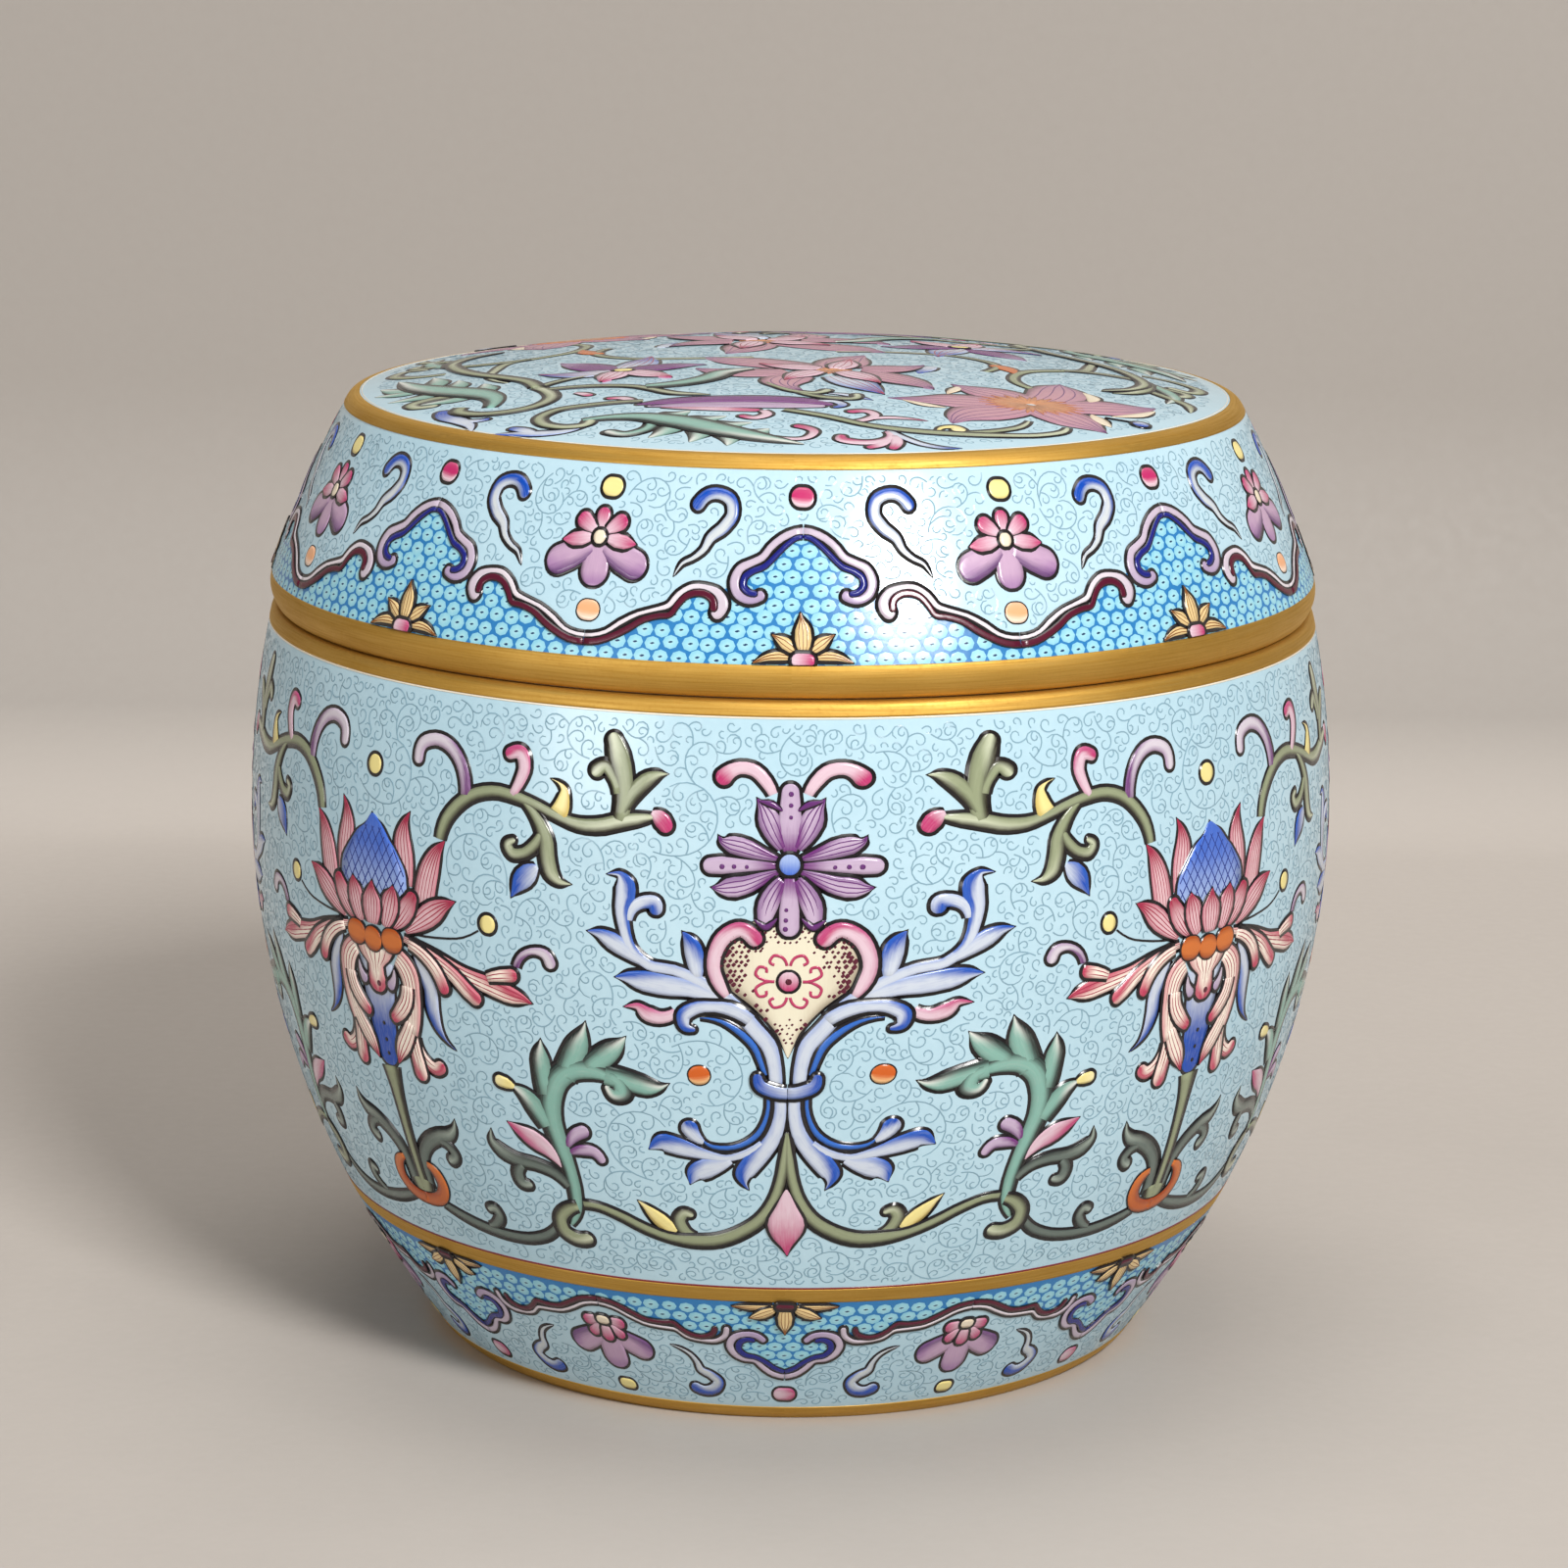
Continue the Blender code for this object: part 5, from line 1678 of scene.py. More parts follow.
def turned(name, section, materials, which=None):
    """Turns a half section round the axis: point = (r sin a, -r cos a, z) for every angle a.

    Section points on the axis become single vertices, joined to their ring by triangles.
    which gives the material's number for each stretch of the section.
    """
    section = np.asarray(section, float)
    angles = np.linspace(0, math.tau, TURN_STEPS, endpoint=False)
    poles = section[:, 0] < 1e-6
    rings = section[~poles]
    count = len(rings)
    first = 1 if poles[0] else 0
    circle = np.stack([np.sin(angles), -np.cos(angles)], -1)
    points = np.empty((TURN_STEPS, count, 3))
    points[..., :2] = circle[:, None] * rings[None, :, :1]
    points[..., 2] = rings[None, :, 1]
    index = np.arange(TURN_STEPS * count).reshape(TURN_STEPS, count)
    after = np.roll(index, -1, 0)
    quads = np.stack([index[:, :-1], index[:, 1:], after[:, 1:], after[:, :-1]], -1).reshape(-1, 4)
    run = run_along(rings)
    turn = np.arange(TURN_STEPS + 1) * math.tau / TURN_STEPS * PATTERN_RADIUS
    cells = (TURN_STEPS, count - 1)
    here_u, next_u = (np.broadcast_to(part[:, None], cells) for part in (turn[:-1], turn[1:]))
    here_v, next_v = (np.broadcast_to(part[None], cells) for part in (run[:-1], run[1:]))
    uvs = np.stack([here_u, here_v, here_u, next_v, next_u, next_v, next_u, here_v], -1)
    uvs = uvs.reshape(-1, 2) * UV_PER_MM
    faces = [quads]
    chosen = None
    if which is not None:
        ring_which = which[first : first + count - 1]
        chosen = [np.tile(ring_which, TURN_STEPS)]
    flat = points.reshape(-1, 3)
    for end in (0, -1):
        if not poles[end]:
            continue
        flat = np.vstack([flat, [[0.0, 0.0, section[end, 1]]]])
        pole = np.full(TURN_STEPS, len(flat) - 1)
        ring = [index[:, end], after[:, end]]
        fan = [ring[0], pole, ring[1]] if end else [pole, *ring]
        faces.append(np.stack(fan, -1))
        uvs = np.vstack([uvs, np.zeros((3 * TURN_STEPS, 2))])
        if chosen is not None:
            chosen.append(np.full(TURN_STEPS, which[end]))
    face_material = np.concatenate(chosen) if chosen is not None else None
    return mesh_object(name, flat * MM, faces, materials, uvs, face_material=face_material)


def lifted(points, lift, sink=0.06):
    """A section's points moved out along its normal, with both ends sunk into the ware."""
    along = np.gradient(points, axis=0)
    along /= np.hypot(*along.T)[:, None]
    out = np.stack([-along[:, 1], along[:, 0]], -1)
    raised = points + out * lift
    return np.vstack([points[0] - out[0] * sink, raised, points[-1] - out[-1] * sink])


def zone_stretch(zone, high, low, count=12):
    """Section points of a zone from one distance up its wall down to another."""
    y = np.linspace(high, low, count)
    return np.stack([np.interp(y, zone.along, zone.radius), np.interp(y, zone.along, zone.height)], -1)


def height_at(zone, y):
    """Height over the floor of a distance up a zone's wall."""
    return np.interp(y, zone.along, zone.height)


def stretch_of(section, inner, low, high, count):
    """The part of an outside section beyond a radius and between two heights, evenly spaced."""
    run = run_along(section)
    fine = np.linspace(0, run[-1], 20000)
    radius = np.interp(fine, run, section[:, 0])
    height = np.interp(fine, run, section[:, 1])
    kept = fine[(radius >= inner) & (height >= low) & (height <= high)]
    at = np.linspace(kept[0], kept[-1], count)
    return np.stack([np.interp(at, run, section[:, 0]), np.interp(at, run, section[:, 1])], -1)


# Colours of the enamels: root, tip and shaded side of a stroke, in display values.
ENAMELS = {
    "blue": ((188, 196, 208), (8, 66, 162), (52, 100, 186)),
    "azure": ((44, 100, 184), (44, 100, 184), (14, 58, 146)),
    "navy": ((22, 28, 116), (22, 28, 116), (22, 24, 96)),
    "blue_comma": ((4, 66, 164), (190, 196, 198), (84, 118, 180)),
    "bulb": ((150, 170, 210), (58, 98, 190), (36, 72, 166)),
    "rose": ((206, 180, 192), (172, 48, 100), (172, 86, 128)),
    "peach": ((220, 160, 116), (220, 160, 116), (234, 212, 194)),
    "rose_bead": ((176, 40, 96), (176, 40, 96), (214, 190, 200)),
    "violet": ((104, 42, 110), (180, 160, 184), (112, 70, 124)),
    "purple": ((92, 40, 104), (92, 40, 104), (72, 30, 84)),
    "lilac": ((104, 58, 112), (198, 190, 200), (150, 124, 156)),
    "mauve": ((180, 150, 176), (152, 116, 156), (84, 48, 100)),
    "mauve_petal": ((180, 134, 146), (158, 118, 140), (118, 84, 112)),
    "lotus": ((210, 174, 180), (150, 26, 60), (164, 54, 84)),
    "petal": ((232, 222, 208), (174, 50, 82), (190, 104, 118)),
    "cream": ((218, 206, 184), (210, 190, 164), (190, 160, 124)),
    "stipple": ((214, 208, 186), (206, 200, 172), (168, 150, 128)),
    "leaf": ((122, 166, 154), (212, 214, 208), (30, 40, 38)),
    "slate": ((92, 104, 98), (150, 162, 152), (28, 32, 32)),
    "olive": ((136, 144, 114), (184, 190, 164), (42, 38, 28)),
    "yellow": ((222, 208, 138), (228, 218, 168), (190, 164, 88)),
    "yellow_flower": ((210, 184, 132), (220, 204, 162), (172, 130, 66)),
    "umber": ((126, 78, 38), (126, 78, 38), (96, 56, 24)),
    "orange": ((192, 104, 42), (176, 84, 24), (132, 48, 12)),
    "orange_bead": ((190, 86, 20), (190, 86, 20), (220, 176, 124)),
    "stamen": ((182, 128, 92), (172, 106, 74), (150, 86, 60)),
    "lilac_band": ((184, 170, 186), (160, 142, 172), (126, 108, 146)),
    "white_band": ((210, 202, 208), (188, 176, 188), (160, 146, 166)),
    "maroon": ((78, 10, 36), (78, 10, 36), (66, 8, 28)),
    "line_rose": ((172, 52, 92), (172, 52, 92), (140, 34, 66)),
    "vein": ((150, 36, 66), (150, 36, 66), (110, 24, 46)),
    "net": ((20, 44, 122), (20, 44, 122), (16, 36, 104)),
    "ink": ((26, 22, 24), (22, 18, 20), (14, 12, 14)),
    "honeycomb": ((40, 114, 172), (36, 106, 164), (30, 96, 154)),
    "cell": ((158, 204, 212), (110, 180, 206), (64, 142, 190)),
    "honeycomb_dot": ((22, 52, 92), (22, 52, 92), (16, 40, 74)),
    "needle": ((122, 154, 170), (114, 146, 162), (102, 134, 150)),
    "cream_line": ((222, 214, 196), (216, 204, 180), (200, 182, 152)),
    "red_line": ((112, 26, 36), (112, 26, 36), (84, 14, 22)),
}
ENAMEL_PARTS = (("root", "at the root"), ("tip", "at the tip"), ("rim", "on the shaded side"))


def colour_property(name, description, value):
    """A colour setting with a default in display values."""
    return bpy.props.FloatVectorProperty(
        name=name, description=description, default=srgb(*value), subtype="COLOR", min=0.0, max=1.0
    )


def length_property(name, description, millimetres):
    """A length setting with a default in millimetres."""
    return bpy.props.FloatProperty(
        name=name, description=description, default=millimetres * MM, min=0.0, unit="LENGTH", precision=5
    )


def light_property(name, description, value, unit="POWER"):
    """A light's setting, in watts unless it is the sky's strength."""
    return bpy.props.FloatProperty(name=name, description=description, default=value, min=0.0, unit=unit)


class JarEnamels(bpy.types.PropertyGroup):
    """Colours of the enamels that the ornament is painted with."""

    __annotations__ = {
        f"{family}_{part}": colour_property(
            f"{family.replace('_', ' ').capitalize()} {part}",
            f"Colour of the {family.replace('_', ' ')} enamel {where} of a stroke",
            value,
        )
        for family, values in ENAMELS.items()
        for (part, where), value in zip(ENAMEL_PARTS, values)
    }


class JarGlazes(bpy.types.PropertyGroup):
    """Colours of the ground, the bare glaze and the gold."""

    turquoise: colour_property("Turquoise", "Ground enamel where it lies thin", (176, 204, 216))
    turquoise_deep: colour_property("Turquoise, pooled", "Ground enamel where it pools", (158, 191, 206))
    white: colour_property("White glaze", "Glaze inside and underneath", (232, 234, 230))
    gold: colour_property("Gold", "Burnished gold", (206, 166, 86))
    gold_dark: colour_property("Gold, dark", "Gold in its brush marks", (178, 136, 54))


class JarRelief(bpy.types.PropertyGroup):
    """Widths and heights of the fine relief."""

    ink_outset: length_property("Ink outside", "How far an outline reaches outside a stroke", 0.23)
    ink_inset: length_property("Ink inside", "How far an outline reaches into a stroke", 0.27)
    needle_width: length_property("Needle width", "Width of the scratched lines", 0.19)
    cell_pitch: length_property("Cell pitch", "Distance between honeycomb cells", 2.4)
    gold_lift: length_property("Gold thickness", "Height of the gilding over the glaze", 0.07)


class JarStage(bpy.types.PropertyGroup):
    """Floor, backdrop and lights of the studio."""

    floor: colour_property("Paper", "Colour of the floor and the backdrop", (178, 171, 164))
    key: light_property("Key light", "Power of the main soft light", 33.5)
    fill: light_property("Fill light", "Power of the soft light on the left", 8.0)
    top: light_property("Top light", "Power of the soft light overhead", 10.0)
    sky: light_property("Sky", "Strength of the even light all round", 0.23, "NONE")


# Shader node groups.


def new_group(name, inputs, outputs):
    """An empty shader node group with named sockets, and its input and output nodes."""
    group = bpy.data.node_groups.new(name, "ShaderNodeTree")
    for socket, kind, value in inputs:
        made = group.interface.new_socket(name=socket, in_out="INPUT", socket_type=kind)
        made.default_value = value
    for socket, kind in outputs:
        group.interface.new_socket(name=socket, in_out="OUTPUT", socket_type=kind)
    return group, group.nodes.new("NodeGroupInput"), group.nodes.new("NodeGroupOutput")


def noise_node(group, vector, scale, detail=3.0, roughness=0.55):
    """A noise texture on a vector, at a scale in features per metre."""
    node = group.nodes.new("ShaderNodeTexNoise")
    node.inputs["Scale"].default_value = scale
    node.inputs["Detail"].default_value = detail
    node.inputs["Roughness"].default_value = roughness
    group.links.new(vector, node.inputs["Vector"])
    return node.outputs["Fac"]


def math_node(group, operation, *values):
    """A math node whose inputs are sockets or numbers."""
    node = group.nodes.new("ShaderNodeMath")
    node.operation = operation
    for socket, value in zip(node.inputs, values):
        if isinstance(value, (int, float)):
            socket.default_value = value
        else:
            group.links.new(value, socket)
    return node.outputs[0]


def added(group, first, second):
    """The sum of two sockets or numbers."""
    return math_node(group, "ADD", first, second)


def times(group, first, second):
    """The product of two sockets or numbers."""
    return math_node(group, "MULTIPLY", first, second)


def object_place(group):
    """The Object coordinates, in metres."""
    return group.nodes.new("ShaderNodeTexCoord").outputs["Object"]


def stretched_uv(group, along, across):
    """The brush UV map, drawn out by its own scales along and across a stroke or band."""
    uv = group.nodes.new("ShaderNodeUVMap")
    uv.uv_map = BRUSH_UV
    stretch = group.nodes.new("ShaderNodeMapping")
    stretch.inputs["Scale"].default_value = (along, across, 1.0)
    group.links.new(uv.outputs["UV"], stretch.inputs["Vector"])
    return stretch.outputs["Vector"]


def map_node(group, value, low, high, to_low, to_high):
    """Maps a value from one range to another, held inside it."""
    node = group.nodes.new("ShaderNodeMapRange")
    group.links.new(value, node.inputs["Value"])
    for name, number in zip(("From Min", "From Max", "To Min", "To Max"), (low, high, to_low, to_high)):
        node.inputs[name].default_value = number
    return node.outputs["Result"]


def mix_node(group, factor, first, second):
    """Mixes two colours, each of them a socket or three numbers."""
    node = group.nodes.new("ShaderNodeMix")
    node.data_type = "RGBA"
    sockets = {socket.identifier: socket for socket in node.inputs}
    group.links.new(factor, sockets["Factor_Float"])
    for socket, value in ((sockets["A_Color"], first), (sockets["B_Color"], second)):
        if isinstance(value, bpy.types.NodeSocket):
            group.links.new(value, socket)
        else:
            socket.default_value = (*value, 1)
    return next(socket for socket in node.outputs if socket.identifier == "Result_Color")


def enamel_wash_group():
    """Colour of a brush stroke: root to tip along it, the rim colour on its shaded side.

    Long streaks and a soft mottle move both changes, so that no stroke is even.
    """
    group, given, made = new_group(
        "enamel wash",
        (
            ("Root", "NodeSocketColor", (1, 1, 1, 1)),
            ("Tip", "NodeSocketColor", (1, 1, 1, 1)),
            ("Rim", "NodeSocketColor", (1, 1, 1, 1)),
            ("Streaks", "NodeSocketFloat", 0.3),
            ("Pooling", "NodeSocketFloat", 0.4),
            ("Shading", "NodeSocketFloat", 0.8),
        ),
        (("Color", "NodeSocketColor"),),
    )
    paint = group.nodes.new("ShaderNodeAttribute")
    paint.attribute_name = PAINT_ATTRIBUTE
    split = group.nodes.new("ShaderNodeSeparateColor")
    group.links.new(paint.outputs["Color"], split.inputs["Color"])
    streak = math_node(group, "SUBTRACT", noise_node(group, stretched_uv(group, 2.2, 24.0), 1.6, 2.0), 0.5)
    mottle = math_node(group, "SUBTRACT", noise_node(group, object_place(group), 520.0, 3.0), 0.5)
    waver = times(group, added(group, streak, times(group, mottle, 0.6)), given.outputs["Streaks"])
    towards_tip = map_node(group, added(group, split.outputs["Red"], waver), 0.0, 1.0, 0.0, 1.0)
    on_rim = added(group, split.outputs["Green"], times(group, waver, 0.8))
    on_rim = times(group, map_node(group, on_rim, 0.08, 1.0, 0.0, 1.0), given.outputs["Shading"])
    pooled = added(group, split.outputs["Blue"], times(group, waver, 0.5))
    pooled = times(group, map_node(group, pooled, 0.0, 1.0, 0.0, 1.0), given.outputs["Pooling"])
    colour = mix_node(group, towards_tip, given.outputs["Root"], given.outputs["Tip"])
    colour = mix_node(group, on_rim, colour, given.outputs["Rim"])
    colour = mix_node(group, pooled, colour, given.outputs["Rim"])
    group.links.new(colour, made.inputs["Color"])
    return group


def glaze_skin_group():
    """The skin of a glaze: slow waves, fine pits, and a gloss that varies a little."""
    group, given, made = new_group(
        "glaze skin",
        (
            ("Wave size", "NodeSocketFloat", 90.0),
            ("Wave depth", "NodeSocketFloat", 0.00008),
            ("Gloss low", "NodeSocketFloat", 0.1),
            ("Gloss high", "NodeSocketFloat", 0.2),
        ),
        (("Normal", "NodeSocketVector"), ("Roughness", "NodeSocketFloat"), ("Mottle", "NodeSocketFloat")),
    )
    place = object_place(group)
    waves = group.nodes.new("ShaderNodeTexNoise")
    waves.inputs["Detail"].default_value = 2.0
    group.links.new(place, waves.inputs["Vector"])
    group.links.new(given.outputs["Wave size"], waves.inputs["Scale"])
    pits = noise_node(group, place, 1500.0, 2.0)
    height = added(group, waves.outputs["Fac"], times(group, pits, 0.12))
    bump = group.nodes.new("ShaderNodeBump")
    bump.inputs["Strength"].default_value = 1.0
    group.links.new(given.outputs["Wave depth"], bump.inputs["Distance"])
    group.links.new(height, bump.inputs["Height"])
    group.links.new(bump.outputs["Normal"], made.inputs["Normal"])
    smear = noise_node(group, place, 45.0, 4.0)
    span = math_node(group, "SUBTRACT", given.outputs["Gloss high"], given.outputs["Gloss low"])
    gloss = added(group, times(group, smear, span), given.outputs["Gloss low"])
    group.links.new(gloss, made.inputs["Roughness"])
    group.links.new(noise_node(group, place, 28.0, 5.0, 0.6), made.inputs["Mottle"])
    return group


def shared_group(name, make):
    """The node group of that name, made the first time that it is asked for."""
    return bpy.data.node_groups.get(name) or make()


def new_material(name):
    """A material with its node tree, and its Principled shader."""
    material = bpy.data.materials.new(name)
    material.use_nodes = True
    return material, material.node_tree, material.node_tree.nodes["Principled BSDF"]


def add_skin(tree, shader, wave_size, wave_depth, low, high):
    """Adds the glaze skin to a material, with its own sizes, and returns its node."""
    skin = tree.nodes.new("ShaderNodeGroup")
    skin.node_tree = shared_group("glaze skin", glaze_skin_group)
    for socket, value in zip(skin.inputs, (wave_size, wave_depth, low, high)):
        socket.default_value = value
    tree.links.new(skin.outputs["Normal"], shader.inputs["Normal"])
    tree.links.new(skin.outputs["Roughness"], shader.inputs["Roughness"])
    return skin


def enamel_material(family, enamels, streaks, pooling, shading):
    """An enamel that is painted in strokes, with its three colours and its own gloss."""
    material, tree, shader = new_material(f"{family.replace('_', ' ')} enamel")
    wash = tree.nodes.new("ShaderNodeGroup")
    wash.node_tree = shared_group("enamel wash", enamel_wash_group)
    for socket, (part, _) in zip(("Root", "Tip", "Rim"), ENAMEL_PARTS):
        wash.inputs[socket].default_value = (*getattr(enamels, f"{family}_{part}"), 1)
    wash.inputs["Streaks"].default_value = streaks
    wash.inputs["Pooling"].default_value = pooling
    wash.inputs["Shading"].default_value = shading
    tree.links.new(wash.outputs["Color"], shader.inputs["Base Color"])
    add_skin(tree, shader, 420.0, 0.00004, 0.16, 0.3)
    material.diffuse_color = (*getattr(enamels, f"{family}_tip"), 1)
    return material


def ground_material(glazes):
    """The turquoise ground: paler where it lies thin, deeper where it pools."""
    material, tree, shader = new_material("turquoise ground")
    skin = add_skin(tree, shader, 160.0, 0.00006, 0.14, 0.24)
    fine = noise_node(tree, object_place(tree), 900.0, 3.0, 0.7)
    depth = added(tree, skin.outputs["Mottle"], times(tree, fine, 0.5))
    depth = map_node(tree, depth, 0.5, 1.1, 0.0, 0.75)
    colour = mix_node(tree, depth, glazes.turquoise, glazes.turquoise_deep)
    tree.links.new(colour, shader.inputs["Base Color"])
    material.diffuse_color = (*glazes.turquoise, 1)
    return material


def white_material(glazes):
    """The bare white glaze of the inside and the underside, with faint iron specks."""
    material, tree, shader = new_material("white glaze")
    add_skin(tree, shader, 110.0, 0.00008, 0.08, 0.18)
    mask = map_node(tree, noise_node(tree, object_place(tree), 700.0, 2.0), 0.72, 0.8, 0.0, 0.7)
    tree.links.new(mix_node(tree, mask, glazes.white, srgb(176, 160, 138)), shader.inputs["Base Color"])
    material.diffuse_color = (*glazes.white, 1)
    return material


def gold_material(glazes):
    """Painted gold: brush marks round the jar, burnished patches and tiny worn spots."""
    material, tree, shader = new_material("gilding")
    place = object_place(tree)
    marks = noise_node(tree, stretched_uv(tree, 0.5, 22.0), 1.4, 4.0, 0.6)
    patches = noise_node(tree, place, 60.0, 4.0)
    grains = noise_node(tree, place, 1800.0, 2.0)
    tone = added(tree, times(tree, marks, 0.7), times(tree, patches, 0.3))
    tone = map_node(tree, tone, 0.36, 0.66, 0.0, 0.8)
    tree.links.new(mix_node(tree, tone, glazes.gold, glazes.gold_dark), shader.inputs["Base Color"])
    worn = map_node(tree, grains, 0.5, 0.8, 0.0, 0.12)
    rough = added(tree, map_node(tree, marks, 0.3, 0.7, 0.52, 0.64), worn)
    tree.links.new(rough, shader.inputs["Roughness"])
    bump = tree.nodes.new("ShaderNodeBump")
    bump.inputs["Distance"].default_value = 0.00003
    height = added(tree, marks, times(tree, grains, 0.3))
    tree.links.new(height, bump.inputs["Height"])
    tree.links.new(bump.outputs["Normal"], shader.inputs["Normal"])
    shader.inputs["Metallic"].default_value = 1.0
    material.diffuse_color = (*glazes.gold, 1)
    return material


# Enamels laid on evenly, with faint streaks.
EVEN_ENAMELS = {"ink", "net", "vein", "purple", "umber", "line_rose", "needle", "honeycomb_dot"}
# How strongly an enamel takes its shaded colour at a stroke's edges, and on its shaded side.
POOLING = {
    "olive": 0.55, "leaf": 0.6, "slate": 0.5, "blue": 0.3, "blue_comma": 0.2, "lotus": 0.75,
    "petal": 0.45, "bulb": 0.1, "rose_bead": 0.1, "orange_bead": 0.05, "mauve_petal": 0.4,
}
SHADING = {
    "blue": 0.3, "blue_comma": 0.2, "rose": 0.5, "rose_bead": 1.0, "orange_bead": 1.0, "violet": 0.7,
    "petal": 0.6, "stipple": 0.5, "leaf": 1.0, "olive": 1.0, "slate": 1.0,
}
USUAL_POOLING = 0.25
USUAL_SHADING = 0.85

# What the operators hand on: materials by name, and each zone's painting.
MATERIALS = {}
PAINTINGS = {}


def finishes(context):
    """All materials by name, made once."""
    scene = context.scene
    if not MATERIALS:
        MATERIALS["turquoise"] = ground_material(scene.jar_glazes)
        MATERIALS["white"] = white_material(scene.jar_glazes)
        MATERIALS["gold"] = gold_material(scene.jar_glazes)
        for family in ENAMELS:
            streaks = 0.25 if family in EVEN_ENAMELS else 0.5
            pooling = POOLING.get(family, USUAL_POOLING)
            shading = SHADING.get(family, USUAL_SHADING)
            MATERIALS[family] = enamel_material(family, scene.jar_enamels, streaks, pooling, shading)
    return MATERIALS


class JAR_OT_porcelain(bpy.types.Operator):
    """Turn the body and the lid, with the turquoise outside and white glaze inside"""

    bl_idname = "jar.porcelain"
    bl_label = "Turn the porcelain"

    def execute(self, context):
        finish = finishes(context)
        materials = [finish["white"], finish["turquoise"]]
        for part, (section, painted) in (("body", body_section()), ("lid", lid_section())):
            piece = turned(f"{part}_porcelain", section, materials, painted.astype(int))
            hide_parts(f"jar_{part}")
        return {"FINISHED"}


# The gold bands and the fine lines beside them: LOW, HIGH and LINE are millimetres up the
# unrolled walls, and INNER is the radius where a band ends on a flat.
SHOULDER_GOLD_LOW = 85.7
SHOULDER_GOLD_INNER = 75.0
SHOULDER_LINE = (85.75, 85.45)
WAIST_GOLD_HIGH = 1.0
WAIST_GOLD_LOW = 26.1
WAIST_LINE = (1.32, 0.95)
CREASE_GAP = 0.15
FOOT_GOLD_LOW = 0.05
FOOT_GOLD_HIGH = 2.8
FOOT_GOLD_INNER = 51.9
RIM_GOLD_INNER = 74.6
EDGE_GOLD_LOW = 26.6
EDGE_GOLD_INNER = 63.6
EDGE_LINE_INNER = 63.2
TOP_OF_ALL = 150.0


class JAR_OT_gilding(bpy.types.Operator):
    """Gild the rims and draw the fine lines beside the gold"""

    bl_idname = "jar.gilding"
    bl_label = "Gild the rims"

    def execute(self, context):
        finish = finishes(context)
        lift = context.scene.jar_relief.gold_lift / MM
        body = body_section()[0]
        lid = lid_section()[0]
        above = zone_stretch(BODY_ZONE, WAIST_GOLD_HIGH, CREASE_GAP, 5)
        below = zone_stretch(FOOT_ZONE, FOOT_ZONE.along[-1] - CREASE_GAP, WAIST_GOLD_LOW, 7)
        shoulder = (height_at(BODY_ZONE, SHOULDER_GOLD_LOW), LEDGE_HEIGHT + 0.1)
        edge = (height_at(LID_ZONE, EDGE_GOLD_LOW), TOP_OF_ALL)
        foot = (FOOT_GOLD_LOW, height_at(FOOT_ZONE, FOOT_GOLD_HIGH))
        bands = {
            "shoulder_gold": (stretch_of(body, SHOULDER_GOLD_INNER, *shoulder, 14), "gold"),
            "waist_gold": (np.vstack([above, below]), "gold"),
            "foot_gold": (stretch_of(body, FOOT_GOLD_INNER, *foot, 12), "gold"),
            "lid_rim_gold": (stretch_of(lid, RIM_GOLD_INNER, LEDGE_HEIGHT, RIM_TOP_HEIGHT, 24), "gold"),
            "lid_edge_gold": (stretch_of(lid, EDGE_GOLD_INNER, *edge, 14), "gold"),
            "shoulder_white_line": (zone_stretch(BODY_ZONE, *SHOULDER_LINE, 4), "cream_line"),
            "waist_red_line": (zone_stretch(BODY_ZONE, *WAIST_LINE, 4), "red_line"),
            "lid_edge_cream_line": (stretch_of(lid, EDGE_LINE_INNER, 140.0, TOP_OF_ALL, 8)[:4], "cream_line"),
        }
        for name, (stretch, colour) in bands.items():
            gilt = colour == "gold"
            height = lift if gilt else lift * 0.6
            turned(name, lifted(stretch, height), [finish[colour]])
        return {"FINISHED"}


class JAR_OT_body_painting(bpy.types.Operator):
    """Paint the urns, lotuses, sprays and vines round the body"""

    bl_idname = "jar.body_painting"
    bl_label = "Paint the body"

    def execute(self, context):
        painting = wall_painting("body", BODY_ZONE, context.scene.jar_relief)
        painting.paint(BODY_HALF, BODY_COPIES, LOTUS_X)
        painting.paint(BODY_VASE, on_axes(URN_ANGLES), LOTUS_X)
        painting.paint(BODY_LOTUS, on_axes(LOTUS_ANGLES), LOTUS_X)
        netting(painting, on_axes(LOTUS_ANGLES))
        stipple(painting.sheets.setdefault("maroon", Sheets()))
        painting.build(finishes(context))
        PAINTINGS["body"] = painting
        return {"FINISHED"}


def paint_border(context, name, zone, patterns, period, edge, outer):
    """Paints a border: its half cells first, what stands on its axes, and the honeycomb."""
    relief = context.scene.jar_relief
    painting = wall_painting(name, zone, relief)
    for strokes, copies in patterns:
        painting.paint(strokes, copies, period)
    honeycomb(painting, zone, edge, outer, patterns[0][1], period, relief, finishes(context))
    painting.build(finishes(context))
    PAINTINGS[name] = painting


class JAR_OT_lid_border(bpy.types.Operator):
    """Paint the border with its honeycomb round the lid's side"""

    bl_idname = "jar.lid_border"
    bl_label = "Paint the lid's border"

    def execute(self, context):
        patterns = (
            (LID_HALF, LID_COPIES),
            (LID_RUYI, on_axes(LID_RUYI_ANGLES)),
            (LID_FLOWER, on_axes(LID_FLOWER_ANGLES)),
        )
        paint_border(context, "lid_side", LID_ZONE, patterns, LID_HALF_PERIOD, LID_SHEET_TOP, LID_SHEET_OUTER)
        return {"FINISHED"}


